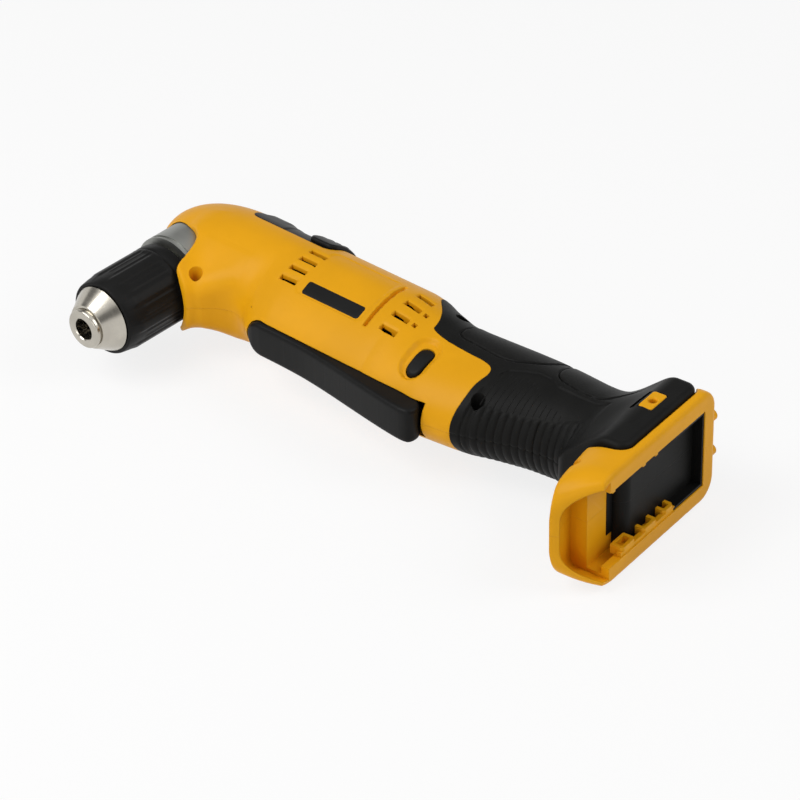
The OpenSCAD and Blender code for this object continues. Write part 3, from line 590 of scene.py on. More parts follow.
def hermite(field, low, step, edge, axis, f):
    """Sums for each crossed grid edge: one, the crossing, and the products of the surface's direction there."""
    unit = np.eye(3)
    ahead = edge + unit[axis].astype(int)
    fa, fb = f[tuple(edge.T)], f[tuple(ahead.T)]
    ta, tb = np.zeros(len(edge)), np.ones(len(edge))
    start = low + step * edge
    for _ in range(3):
        t = ta + (tb - ta) * np.clip(fa / (fa - fb), 0.02, 0.98)
        place = start + step * t[:, None] * unit[axis]
        value = field(*place.T)
        near = (value < 0) == (fa < 0)
        ta, fa = np.where(near, t, ta), np.where(near, value, fa)
        tb, fb = np.where(near, tb, t), np.where(near, fb, value)
        fb = np.where(fa == fb, fb + 1e-9, fb)
    h = 0.04 * step
    slope = np.stack([field(*(place + h * unit[i]).T) - field(*(place - h * unit[i]).T) for i in range(3)], 1)
    slope = slope / np.maximum(np.linalg.norm(slope, axis=1), 1e-9)[:, None]
    reach = (slope * place).sum(1)
    nx, ny, nz = slope.T
    return [np.ones(len(edge)), *place.T, nx * nx, ny * ny, nz * nz, nx * ny, nx * nz, ny * nz,
            nx * reach, ny * reach, nz * reach]


def settle(sums, cell, low, step):
    """Point of each cell that lies on all the surface planes found on its edges."""
    middle = (sums[1:4] / sums[0]).T
    xx, yy, zz, xy, xz, yz = sums[4:10]
    planes = np.stack([xx, xy, xz, xy, yy, yz, xz, yz, zz], 1).reshape(-1, 3, 3)
    rest = sums[10:13].T - np.einsum("nij,nj->ni", planes, middle)
    move = np.linalg.solve(planes + 0.04 * np.eye(3), rest[:, :, None])[:, :, 0]
    corner = low + step * cell
    return np.clip(middle + move, corner + 0.03 * step, corner + 0.97 * step)


def new_object(name, pts, faces):
    """Object in the frame's metres from points in drill millimetres."""
    mesh = bpy.data.meshes.new(name)
    rows = (np.asarray(pts, float) + (0, MOUTH_DROP, 0)) * MM
    mesh.from_pydata(rows.tolist(), [], np.asarray(faces).tolist() if isinstance(faces, np.ndarray) else faces)
    mesh.validate()
    made = bpy.data.objects.new(name, mesh)
    bpy.context.scene.collection.objects.link(made)
    return made


def mirrored(pts, faces):
    """The same surface on the other side of the parting plane."""
    return np.asarray(pts) * (1, 1, -1), np.asarray(faces)[:, ::-1]


def prism(pts, low, high, place=None):
    """Closed prism over an outline in the side view, from one depth to another."""
    area = sum(a[0] * b[1] - b[0] * a[1] for a, b in zip(pts, pts[1:] + pts[:1]))
    pts = tuple(pts) if area > 0 else tuple(pts)[::-1]
    n = len(pts)
    flat = [place(*p) if place else p for p in pts]
    rows = [(*p, low) for p in flat] + [(*p, high) for p in flat]
    faces = [list(range(n))[::-1], list(range(n, 2 * n))]
    faces += [[i, (i + 1) % n, n + (i + 1) % n, n + i] for i in range(n)]
    return rows, faces


def upright(part):
    """A prism turned so that its depth runs along the drill's height."""
    rows, faces = part
    return [(x, z, y) for x, y, z in rows], [q[::-1] for q in faces]


def rect(x0, x1, y0, y1):
    """Corners of a rectangle."""
    return ((x0, y0), (x1, y0), (x1, y1), (x0, y1))


def hook_pocket(gap, side):
    """Pocket of the belt hook insert on one side of the foot."""
    half, tall = HOOK_W / 2 + gap, HOOK_H / 2 + gap
    low, high = sorted(side * z for z in HOOK_CUT)
    return prism(rect(HOOK[0] - half, HOOK[0] + half, HOOK[1] - tall, HOOK[1] + tall), low, high, from_foot)


def foot_box(u0, u1, v0, v1, half):
    """Box in the foot's frame that reaches as far on both sides of the parting plane."""
    return prism(rect(u0, u1, v0, v1), -half, half, from_foot)


def circle(x, y, r, n=40):
    """Corners of a circle."""
    return tuple((x + r * math.cos(2 * math.pi * i / n), y + r * math.sin(2 * math.pi * i / n)) for i in range(n))


def stadium(x, y, w, h, n=16):
    """Corners of an upright oval with straight sides."""
    half = (h - w) / 2
    turn = [math.pi * i / n for i in range(n + 1)]
    upper = [(x + w / 2 * math.cos(t), y + half + w / 2 * math.sin(t)) for t in turn]
    return tuple(upper + [(2 * x - px, 2 * y - py) for px, py in upper])


def lathe(profile, n):
    """Surface turned around the chuck axis from pairs of radius and distance behind the mouth."""
    pts, faces, m = [], [], len(profile)
    for i in range(n):
        a = 2 * math.pi * i / n
        pts += [(r * math.cos(a), s - MOUTH_DROP, r * math.sin(a)) for r, s in profile]
        k = (i + 1) % n
        faces += [[i * m + j, i * m + (j + 1) % m, k * m + (j + 1) % m, k * m + j] for j in range(m)]
    return pts, faces


def carve(piece, cutters, operation="DIFFERENCE"):
    """Cuts closed shapes out of a piece, or joins them to it."""
    for rows, faces in cutters:
        tool = new_object("cutter", rows, faces)
        before = len(piece.data.polygons), len(piece.data.vertices)
        work = piece.modifiers.new("work", "BOOLEAN")
        work.operation = operation
        work.solver = "MANIFOLD"
        work.object = tool
        graph = bpy.context.evaluated_depsgraph_get()
        mesh = bpy.data.meshes.new_from_object(piece.evaluated_get(graph))
        piece.modifiers.clear()
        old, piece.data = piece.data, mesh
        bpy.data.meshes.remove(old)
        bpy.data.objects.remove(tool)
        if (len(mesh.polygons), len(mesh.vertices)) in ((0, 0), before):
            raise RuntimeError(f"{piece.name}: a cut near {rows[0]} changed nothing or left nothing")


def dress(piece, finish, body, replaced=(), angle=32):
    """Shading, finish, body and slot of a finished piece."""
    piece.data.name = piece.name
    piece.data.materials.clear()
    piece.data.materials.append(finish)
    piece.data.shade_smooth()
    piece.data.set_sharp_from_angle(angle=math.radians(angle))
    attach(piece, body)
    if replaced:
        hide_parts(*replaced)
    return piece


# Finishes
class Value:
    """A socket in a finish, with arithmetic that adds Math nodes."""

    def __init__(self, finish, socket):
        self.finish = finish
        self.socket = socket

    def math(self, operation, a, b):
        return self.finish.node("ShaderNodeMath", {"operation": operation}, {0: a, 1: b})

    def __add__(self, other):
        return self.math("ADD", self, other)

    def __radd__(self, other):
        return self.math("ADD", other, self)

    def __sub__(self, other):
        return self.math("SUBTRACT", self, other)

    def __rsub__(self, other):
        return self.math("SUBTRACT", other, self)

    def __mul__(self, other):
        return self.math("MULTIPLY", self, other)

    def __rmul__(self, other):
        return self.math("MULTIPLY", other, self)

    def step(self, low, high):
        """Smooth step of this value from low to high."""
        return self.finish.node("ShaderNodeMapRange", {"interpolation_type": "SMOOTHSTEP"},
                                {0: self, 1: low, 2: high, 3: 0.0, 4: 1.0})


class Nodes:
    """A node tree whose nodes are written as expressions."""

    def __init__(self, tree):
        self.tree = tree

    def node(self, kind, settings=None, values=None, out=0):
        made = self.tree.nodes.new(kind)
        for key, value in (settings or {}).items():
            setattr(made, key, value)
        for key, value in (values or {}).items():
            self.feed(made.inputs[key], value)
        return Value(self, made.outputs[out]) if made.outputs else made

    def feed(self, socket, value):
        if isinstance(value, Value):
            self.tree.links.new(value.socket, socket)
        else:
            socket.default_value = value

    def seen(self):
        """Value that is 1 for rays that show the background."""
        rays = self.tree.nodes.new("ShaderNodeLightPath").outputs
        total = Value(self, rays["Is Camera Ray"])
        for name in ("Is Glossy Ray", "Is Transmission Ray"):
            total = total.math("MAXIMUM", total, Value(self, rays[name]))
        return total


class Finish(Nodes):
    """A material with a Principled shader."""

    def __init__(self, name, **constants):
        self.material = bpy.data.materials.new(name)
        self.material.use_nodes = True
        super().__init__(self.material.node_tree)
        self.shader = self.tree.nodes["Principled BSDF"]
        for key, value in constants.items():
            self.put(key.replace("_", " "), value)
        self.place = self.node("ShaderNodeTexCoord", out=3)

    def put(self, name, value):
        self.feed(self.shader.inputs[name], value)

    def mix(self, factor, a, b):
        return self.node("ShaderNodeMix", {"data_type": "RGBA"}, {0: factor, 6: a, 7: b}, out=2)

    def noise(self, scale, detail=3.0, stretch=None):
        place = self.place
        if stretch:
            place = self.node("ShaderNodeVectorMath", {"operation": "MULTIPLY"}, {0: place, 1: stretch})
        return self.node("ShaderNodeTexNoise", {}, {"Vector": place, "Scale": scale, "Detail": detail})

    def cells(self, scale):
        return self.node("ShaderNodeTexVoronoi", {}, {"Vector": self.place, "Scale": scale})

    def relief(self, height, distance, strength=1.0, soft=0.0):
        values = {"Height": height, "Distance": distance, "Strength": strength}
        if soft:
            values["Normal"] = self.node("ShaderNodeBevel", {"samples": 4}, {"Radius": soft})
        self.put("Normal", self.node("ShaderNodeBump", {}, values))


def rgb(colour, gain=1.0):
    """Colour with full alpha."""
    return (*(min(1.0, gain * c) for c in colour[:3]), 1.0)


def yellow_plastic(colour, roughness):
    """Satin moulded plastic with a faint flow mottle and rubbed edges."""
    f = Finish("yellow_plastic", Specular_IOR_Level=0.12)
    flow = f.noise(22.0, 4.0)
    speck = f.noise(1500.0, 2.0)
    worn = f.node("ShaderNodeNewGeometry", out=7).step(0.52, 0.62)
    base = f.mix(flow.step(0.35, 0.7), rgb(colour, 0.95), rgb(colour, 1.04))
    base = f.mix(worn * flow * 0.35, base, rgb((colour[0] * 1.05, colour[1] * 1.12, colour[2] + 0.03)))
    f.put("Base Color", base)
    f.put("Roughness", roughness + 0.10 * flow - 0.06 * worn + 0.05 * speck)
    f.relief(speck + 0.6 * f.noise(420.0, 2.0), 0.00003, 0.5, soft=0.0005)
    return f.material


def black_rubber(colour):
    """Soft moulded rubber with a fine stipple, and a painted sheen with dusty wear on the high places."""
    f = Finish("black_rubber", Specular_IOR_Level=0.09)
    stipple = f.cells(1300.0)
    cloud = f.noise(60.0, 4.0)
    # High places: their lighter base colour is painted sheen as well as dust and wear; their lower roughness is wear.
    high = f.node("ShaderNodeNewGeometry", out=7).step(0.5, 0.6)
    base = f.mix(cloud.step(0.3, 0.75), rgb(colour, 0.85), rgb(colour, 1.3))
    # Painted sheen with dust: the high places are mixed towards a colour 2.2 times lighter.
    f.put("Base Color", f.mix(high * 0.5, base, rgb(colour, 2.2)))
    f.put("Roughness", 0.42 + 0.14 * cloud - 0.08 * high)
    f.relief(stipple, 0.00005, 0.6, soft=0.0004)
    return f.material


def black_plastic(colour, roughness=0.34):
    """Smooth black moulding with a fine grain."""
    f = Finish("black_plastic", Specular_IOR_Level=0.12)
    grain = f.noise(1600.0, 2.0)
    cloud = f.noise(45.0, 3.0)
    f.put("Base Color", f.mix(cloud.step(0.3, 0.7), rgb(colour, 0.85), rgb(colour, 1.25)))
    f.put("Roughness", roughness + 0.10 * cloud + 0.06 * grain)
    f.relief(grain, 0.00003, 0.5, soft=0.0004)
    return f.material


def metal(name, colour, roughness, brush, spread=0.12, depth=0.00001):
    """Machined or cast metal with tool marks that run one way."""
    f = Finish(name, Metallic=1.0)
    marks = f.noise(900.0, 3.0, brush)
    cloud = f.noise(70.0, 3.0)
    f.put("Base Color", f.mix(cloud.step(0.3, 0.7), rgb(colour, 0.9), rgb(colour, 1.05)))
    f.put("Roughness", roughness + spread * (marks - 0.5) + 0.06 * cloud)
    f.relief(marks, depth, 0.5)
    return f.material


def coated(name, colour, roughness):
    """Painted or insulated small parts with a slight mottle."""
    f = Finish(name)
    cloud = f.noise(160.0, 3.0)
    f.put("Base Color", f.mix(cloud.step(0.3, 0.7), rgb(colour, 0.8), rgb(colour, 1.15)))
    f.put("Roughness", roughness + 0.14 * cloud)
    f.relief(f.noise(1100.0, 2.0), 0.00003, 0.5)
    return f.material


# Finishes made so far, and the stretch of tool marks on turned, cast and drawn metal
FINISHES = {}
TURNED = (0.15, 4.0, 0.15)
CAST = (0.2, 3.0, 0.2)
DRAWN = (3.0, 0.2, 0.2)


def finish(name, make, *values):
    """Finish of that name, made once."""
    if name not in FINISHES:
        FINISHES[name] = make(*values)
    return FINISHES[name]


def black_finish(context):
    """Finish of the black mouldings."""
    return finish("black", black_plastic, context.scene.drill_controls.colour)


def yellow_finish(context):
    """Finish of the yellow mouldings."""
    s = context.scene.drill_shell
    return finish("yellow", yellow_plastic, s.colour, s.roughness)


def nickel_finish(context):
    """Finish of the plated pieces."""
    return finish("nickel", metal, "nickel", context.scene.drill_chuck.nickel, 0.2, TURNED, 0.16)


def steel_finish():
    """Finish of the bare steel pieces."""
    return finish("steel", metal, "steel", (0.55, 0.54, 0.52), 0.3, DRAWN)


# Settings that a user would change
class ShellSettings(PropertyGroup):
    """Sizes and colour of the yellow shell."""

    colour: FloatVectorProperty(name="Colour", description="Colour of the shell", subtype="COLOR", size=3,
                                min=0, max=1, default=(0.78, 0.36, 0.006))
    roughness: FloatProperty(name="Roughness", description="Roughness of the moulded surface",
                             subtype="FACTOR", min=0, max=1, default=0.33)
    wall: FloatProperty(name="Wall", description="Wall thickness", unit="LENGTH", default=0.0026)
    mesh_step: FloatProperty(name="Mesh step", description="Size of the mesh faces", unit="LENGTH", default=0.0009)


class GripSettings(PropertyGroup):
    """Sizes and colour of the rubber grip."""

    colour: FloatVectorProperty(name="Colour", description="Colour of the rubber", subtype="COLOR", size=3,
                                min=0, max=1, default=(0.006, 0.006, 0.0056))
    rib_pitch: FloatProperty(name="Rib pitch", description="Distance between ribs", unit="LENGTH", default=0.00385)
    rib_depth: FloatProperty(name="Rib depth", description="Depth between ribs", unit="LENGTH", default=0.0009)
    line_pitch: FloatProperty(name="Line pitch", description="Distance between the thin raised lines",
                              unit="LENGTH", default=0.0032)
    mesh_step: FloatProperty(name="Mesh step", description="Size of the mesh faces", unit="LENGTH", default=0.0006)


class ControlSettings(PropertyGroup):
    """Colour and mesh of the paddle, button and selector."""

    colour: FloatVectorProperty(name="Colour", description="Colour of the black mouldings", subtype="COLOR", size=3,
                                min=0, max=1, default=(0.006, 0.006, 0.0058))
    mesh_step: FloatProperty(name="Mesh step", description="Size of the mesh faces", unit="LENGTH", default=0.0005)


class ChuckSettings(PropertyGroup):
    """Sizes and colour of the chuck."""

    flutes: IntProperty(name="Flutes", description="Number of hollows around the sleeve", min=3, default=9)
    flute_depth: FloatProperty(name="Flute depth", description="Depth of a hollow", unit="LENGTH", default=0.0007)
    nickel: FloatVectorProperty(name="Nickel", description="Colour of the plated nose", subtype="COLOR", size=3,
                                min=0, max=1, default=(0.50, 0.47, 0.41))


class StageSettings(PropertyGroup):
    """Lamps, floor and camera."""

    lens: FloatProperty(name="Focal length", description="Focal length of the camera", subtype="DISTANCE_CAMERA",
                        default=167.95)
    key_power: FloatProperty(name="Key lamp", description="Power of the large lamp", unit="POWER", default=13.5)
    fill_power: FloatProperty(name="Fill lamp", description="Power of the side lamp", unit="POWER", default=4.7)
    sky: FloatProperty(name="Room light", description="Strength of the even light of the room", default=0.29)
    floor: FloatVectorProperty(name="Floor", description="Colour of the floor", subtype="COLOR", size=3,
                               min=0, max=1, default=(0.9, 0.9, 0.9))


# Operators
class DRILL_OT_shell(Operator):
    """Makes the two yellow halves of the shell with their vents, bores and battery rails."""

    bl_idname = "drill.shell"
    bl_label = "Shell halves"

    def execute(self, context):
        s = context.scene.drill_shell
        step, wall = s.mesh_step / MM, s.wall / MM
        paint = yellow_finish(context)
        outside = skin(lambda x, y, z: np.maximum(house_field(x, y, z), SEAM - z),
                       (-32, -76, -1.1), (305, 44, 34), step)
        room = skin(lambda x, y, z: hollow_field(x, y, z, wall), (-18, -44, -30), (292, 32, 30), ROOM_STEP)
        scoop = skin(scoop_field, (262, -99, -32), (328, -40, 32), SCOOP_STEP)
        saddle = skin(lambda x, y, z: np.maximum(saddle_plan(x, y, z, SADDLE, 6),
                                                 np.abs(np.hypot(y, z) - 33.1) - 5),
                      (18, 0, -40), (79, 41, 40), SADDLE_STEP)
        cuts = [room, scoop, saddle]
        cuts.append(lathe(GEAR_ROOM, 96))
        cuts += [prism(rect(x, x + n, y - w, y + w), -40, 40) for x, y, n, w in VENTS]
        gap = PADDLE_W + PADDLE_GAP
        arm = ARM_HALF + PADDLE_GAP
        turn = [math.pi * (0.5 + i / 24) for i in range(25)]
        slot = [(SLOT_X[0] + gap * math.cos(t), gap * math.sin(t)) for t in turn]
        cuts.append(upright(prism((*slot, (SLOT_X[1], -gap), (SLOT_X[1], gap)), -70, -25)))
        cuts.append(prism(circle(*PIVOT, ARM_R + PADDLE_GAP), -arm, arm))
        cuts.append(prism(rect(PIVOT[0] - 1, 72, -35.4, -25.2), -arm, arm))
        cuts.append(prism(rect(44, 74.5, 10, 40), -4, 4))
        cuts.append(prism(stadium(*BUTTON, BUTTON_W + 0.8, BUTTON_H + 0.8), -50, 50))
        cuts.append(prism(circle(*PIVOT, 2.1, 20), -PIN_HALF, PIN_HALF))
        cuts.append(foot_box(-SLOT_DEPTH, 6, -60, SLOT_END, RAIL_GAP))
        cuts.append(foot_box(-SLOT_DEPTH, -4.5, -60, SLOT_END, RAIL_GAP + 4.4))
        cuts.append(foot_box(-SLOT_DEPTH - 5, -SLOT_DEPTH + 1, -4, 20.2, 17.2))
        cuts.append(foot_box(-SLOT_DEPTH - 1.2, -SLOT_DEPTH + 1, -43, -3, 17))
        for side, name, surface in ((1, "shell_left", outside), (-1, "shell_right", mirrored(*outside))):
            piece = new_object(name, *surface)
            own = [hook_pocket(0.1, side)]
            for i, (x, y) in enumerate(SCREWS):
                if side > 0:
                    own.append(prism(circle(x, y, 2.2, 24), -1, 20))
                    own.append(prism(circle(x, y, LINING_R + 0.1 if i in (1, 2) else BORE_R), SCREW_SEAT, 50))
                else:
                    own.append(prism(circle(x, y, 2.1, 24), -12, 1))
            carve(piece, cuts + own)
            self.add_catches(piece, side)
            dress(piece, paint, "body", ("housing_left" if side > 0 else "housing_right",))
        return {"FINISHED"}

    def add_catches(self, piece, side):
        """Joins the small catches on the edges of the battery rails."""
        if side > 0:
            for v in (-56, -31, -21):
                tooth = ((-4.4, v), (-0.6, v), (-0.6, v + 2.2), (-4.4, v + 3.4))
                carve(piece, [prism(tooth, RAIL_GAP - 1.7, RAIL_GAP + 0.6, from_foot)], "UNION")
            return
        for v0, v1 in ((-47, -36), (-29, -18), (-12, -4)):
            block = ((-7.5, v0), (-2.0, v0), (-0.6, v0 + 1.4), (-0.6, v1 - 1.4), (-2.0, v1), (-7.5, v1))
            carve(piece, [prism(block, -RAIL_GAP - 0.8, -RAIL_GAP + 4.2, from_foot)], "UNION")
            hole = rect(-6.0, -2.4, v0 + 2, v1 - 2)
            carve(piece, [prism(hole, -RAIL_GAP + 0.8, -RAIL_GAP + 6, from_foot)])
        wall = prism(rect(-3.2, -0.7, -48, -3.2), -RAIL_GAP - 0.7, -RAIL_GAP + 2.2, from_foot)
        carve(piece, [wall], "UNION")


class DRILL_OT_grip(Operator):
    """Makes the two halves of the rubber grip with pads, ribs, thin lines and bumpers."""

    bl_idname = "drill.grip"
    bl_label = "Rubber grip"

    def execute(self, context):
        s = context.scene.drill_grip
        paint = finish("rubber", black_rubber, s.colour)
        surface = skin(lambda x, y, z: np.maximum(rubber_field(x, y, z, s), SEAM - z),
                       (136, -47, -1.0), (299, 36, 34.5), s.mesh_step / MM)
        for side, name, part in ((1, "grip_skin_left", surface), (-1, "grip_skin_right", mirrored(*surface))):
            piece = new_object(name, *part)
            carve(piece, [hook_pocket(0.15, side)])
            if side > 0:
                for x, y in SCREWS[1:3]:
                    carve(piece, [self.lining(s, x, y)], "UNION")
                    carve(piece, [prism(circle(x, y, BORE_R), SCREW_SEAT, 50)])
            dress(piece, paint, "body", ("grip_left" if side > 0 else "grip_right",))
            lines = new_object("grip_lines_left" if side > 0 else "grip_lines_right", *self.thin_lines(s, side))
            dress(lines, paint, "body")
        return {"FINISHED"}

    def lining(self, s, x0, y0):
        """Rubber that lines the bore over a screw."""
        def field(x, y, z):
            tube = np.maximum(np.hypot(x - x0, y - y0) - LINING_R, SCREW_SEAT + 0.3 - z)
            return np.maximum(tube, rubber_outer(x, y, z, s) + 0.35)
        return skin(field, (x0 - 6, y0 - 6, SCREW_SEAT - 1), (x0 + 6, y0 + 6, 32), 0.5)

    def thin_lines(self, s, side):
        """Fine raised lines above the ribs, each a low ridge on the rubber."""
        pts, faces = [], []
        for x in np.arange(LINES_X[0], LINES_X[1], s.line_pitch / MM):
            top, low = along(x, LINE_TOP) - 2.2, along(x, RIB_TOP) - 1.0
            y = np.linspace(low, top, LINE_ROWS)
            z = surface_z(lambda *at: rubber_outer(*at, s), np.full(LINE_ROWS, x), y)
            lift = LINE_LIFT * ease(y, low, low + 2) * (1 - ease(y, top - 2, top))
            start = len(pts)
            for yy, zz, h in zip(y, z, lift):
                foot = (zz - 0.1) * side
                pts += [(x - LINE_HALF, yy, foot), (x, yy, (zz + h) * side), (x + LINE_HALF, yy, foot),
                        (x, yy, (zz - 0.4) * side)]
            for i in range(LINE_ROWS - 1):
                a = start + 4 * i
                ring = [[a + j, a + (j + 1) % 4, a + 4 + (j + 1) % 4, a + 4 + j] for j in range(4)]
                faces += ring if side > 0 else [q[::-1] for q in ring]
            end = start + 4 * (LINE_ROWS - 1)
            caps = [[start + 3, start + 2, start + 1, start], [end + j for j in range(4)]]
            faces += caps if side > 0 else [q[::-1] for q in caps]
        return pts, faces


class DRILL_OT_selector(Operator):
    """Makes the speed selector's track and knob on top of the head."""

    bl_idname = "drill.selector"
    bl_label = "Speed selector"

    def execute(self, context):
        s = context.scene.drill_controls
        paint = black_finish(context)
        step = s.mesh_step / MM
        track = new_object("selector_saddle", *skin(track_field, (18, 4, -34), (79, 33, 34), 1.2 * step))
        dress(track, paint, "body", ("selector_track",))
        knob = new_object("selector_knob", *skin(knob_field, (56, 7, -34), (78, 34.5, 34), 1.2 * step))
        dress(knob, paint, "selector", ("speed_selector",))
        return {"FINISHED"}


class DRILL_OT_button(Operator):
    """Makes the forward and reverse button that passes across the handle."""

    bl_idname = "drill.button"
    bl_label = "Direction button"

    def execute(self, context):
        s = context.scene.drill_controls
        surface = skin(button_field, (158, -34, -22.5), (169, -8, 22.5), s.mesh_step / MM)
        dress(new_object("cross_button", *surface),
              black_finish(context), "direction", ("direction_button",))
        return {"FINISHED"}


class DRILL_OT_paddle(Operator):
    """Makes the long switch paddle and its hinge pin."""

    bl_idname = "drill.paddle"
    bl_label = "Switch paddle"

    def execute(self, context):
        s = context.scene.drill_controls
        surface = skin(paddle_field, (54, -53, -11), (182, -25, 11), 1.5 * s.mesh_step / MM)
        dress(new_object("switch_paddle", *surface), black_finish(context), "paddle", ("paddle",))
        pin = lathe(((0.01, -PIN_HALF + 0.1), (1.6, -PIN_HALF + 0.1), (1.95, -PIN_HALF + 0.5), (1.95, PIN_HALF - 0.5),
                     (1.6, PIN_HALF - 0.1), (0.01, PIN_HALF - 0.1)), 32)
        rows = [(PIVOT[0] + x, PIVOT[1] + z, y + MOUTH_DROP) for x, y, z in pin[0]]
        steel = steel_finish()
        dress(new_object("hinge_pin", rows, [q[::-1] for q in pin[1]]), steel, "body", ("paddle_pin",))
        return {"FINISHED"}


class DRILL_OT_chuck(Operator):
    """Makes the plated chuck core and the fluted sleeve."""

    bl_idname = "drill.chuck"
    bl_label = "Keyless chuck"

    def execute(self, context):
        s = context.scene.drill_chuck
        plated = nickel_finish(context)
        core = new_object("chuck_core", *lathe(self.core_profile(), 128))
        carve(core, [self.jaw_bore(k) for k in range(3)])
        dress(core, plated, "output", ("chuck_body",), 28)
        black = black_finish(context)
        sleeve = new_object("chuck_grip_sleeve", *self.sleeve(s))
        dress(sleeve, black, "sleeve", ("chuck_sleeve",))
        return {"FINISHED"}

    def core_profile(self):
        """Half section of the chuck core with its rounded nose ring and groove."""
        nose = [(9.3 + 1.0 * math.sin(t), 1.0 - 1.0 * math.cos(t)) for t in np.linspace(0, math.pi / 2, 6)]
        return [(MOUTH_R + 0.3, 3.0), (MOUTH_R, 3.0), (MOUTH_R, 0.5), (MOUTH_R + 0.5, 0.0)] + nose + [
            (10.3, 2.1), (10.0, 2.4), (9.8, 2.4), (9.8, 3.0), (11.3, 3.0), (11.7, 3.2),
            (CONE_R - 0.2, CONE_LEN - 0.4), (CONE_R, CONE_LEN), (16, CONE_LEN), (16, 18),
            (17.2, 20), (17.2, 26.6), (13.2, 26.6), (13.2, 38), (17.2, 38),
            (17.2, CHUCK_LEN - 2), (15, CHUCK_LEN - 0.2), (4.8, CHUCK_LEN - 0.2), (4.8, CHUCK_LEN - 15.6),
            (MOUTH_R + 0.3, CHUCK_LEN - 15.6)]

    def jaw_bore(self, k):
        """Slanted bore for one jaw."""
        turn = math.radians(120 * k + 30)
        rows, faces = prism(circle(0, 0, JAW_R + 0.05, 28), 4.2, 47.4)
        pts = []
        for a, b, s in rows:
            out = JAW_C + a * math.cos(JAW_ANGLE) + s * math.sin(JAW_ANGLE)
            far = s * math.cos(JAW_ANGLE) - a * math.sin(JAW_ANGLE)
            px, pz = out * math.cos(turn) - b * math.sin(turn), out * math.sin(turn) + b * math.cos(turn)
            pts.append((px, far - MOUTH_DROP, -pz))
        return pts, faces

    def sleeve(self, s):
        """Sleeve with a bevelled front and hollows around it."""
        depth = s.flute_depth / MM
        rows = [(CONE_R + 0.1, 13.4), (18.7, 13.3), (19.2, 13.6), (19.45, 14.2)]
        rows += [(20.25, 18.6), (20.7, 20.4), (20.85, 21.2)]
        rows += [(SLEEVE_R, q) for q in np.linspace(22, 55, 34)]
        rows += [(20.75, 56.4), (20.3, 57.8), (19.5, 58.7), (18.6, 59.0)]
        rows += [(17.6, 59.0), (17.6, 16.8), (CONE_R + 0.1, 15.8)]
        n, m = 252, len(rows)
        pts, faces = [], []
        for i in range(n):
            a = 2 * math.pi * i / n
            wave = abs((i * s.flutes / n) % 1 - 0.5) * 2
            for j, (r, q) in enumerate(rows):
                hollow = ease(q, 17.5, 21.5) * (1 - ease(q, 47.5, 49.5)) * (1 - ease(wave, 0.44, 0.72))
                step = 0.35 * depth * (1 - ease(abs(wave - 0.27), 0.05, 0.1)) * ease(q, 24, 26)
                rear = 0.5 * (ease(q, 50.5, 51.0) - ease(q, 51.6, 52.1))
                sunk = (hollow * (depth - step) + rear) * (0 < j < m - 3)
                pts.append(((r - sunk) * math.cos(a), q - MOUTH_DROP, (r - sunk) * math.sin(a)))
            k = (i + 1) % n
            faces += [[i * m + j, i * m + (j + 1) % m, k * m + (j + 1) % m, k * m + j] for j in range(m)]
        return pts, faces


class DRILL_OT_foot_fittings(Operator):
    """Makes the belt hook inserts on the sides of the foot and the frame around the battery blades."""

    bl_idname = "drill.foot_fittings"
    bl_label = "Foot fittings"

    def execute(self, context):
        paint = yellow_finish(context)
        pts, faces = skin(insert_field, (274, -3, 22), (286, 15, 33.4), 0.4)
        other, turned = mirrored(pts, faces)
        both = new_object("hook_sockets", np.concatenate([pts, other]), np.concatenate([faces, turned + len(pts)]))
        dress(both, paint, "body", ("hook_inserts",))
        self.terminal_frame(black_finish(context))
        return {"FINISHED"}

    def terminal_frame(self, paint):
        """Makes the black frame with the floor plate, in which the three battery blades stand."""
        floor, wide = -SLOT_DEPTH, RAIL_GAP - 0.2
        piece = new_object("terminal_frame", *foot_box(floor + 0.1, -0.6, -4.2, SLOT_END - 0.1, wide))
        carve(piece, [foot_box(floor - 4.9, floor + 0.6, -3.9, 20.1, 17.1)], "UNION")
        carve(piece, [foot_box(floor - 1.1, floor + 0.3, -42.9, -3.0, 16.9)], "UNION")
        carve(piece, [foot_box(floor + 0.5, 1.0, -2.8, SLOT_END - 1.3, 19.7)])
        carve(piece, [foot_box(floor + 3.2, 1.0, -6.0, -2.0, 19.7)])
        for z in BLADES_Z:
            carve(piece, [prism(rect(floor - 6.6, floor + 1.0, 3.9, 14.1), z - 0.45, z + 0.45, from_foot)])
        dress(piece, paint, "body", ("terminal_block",))


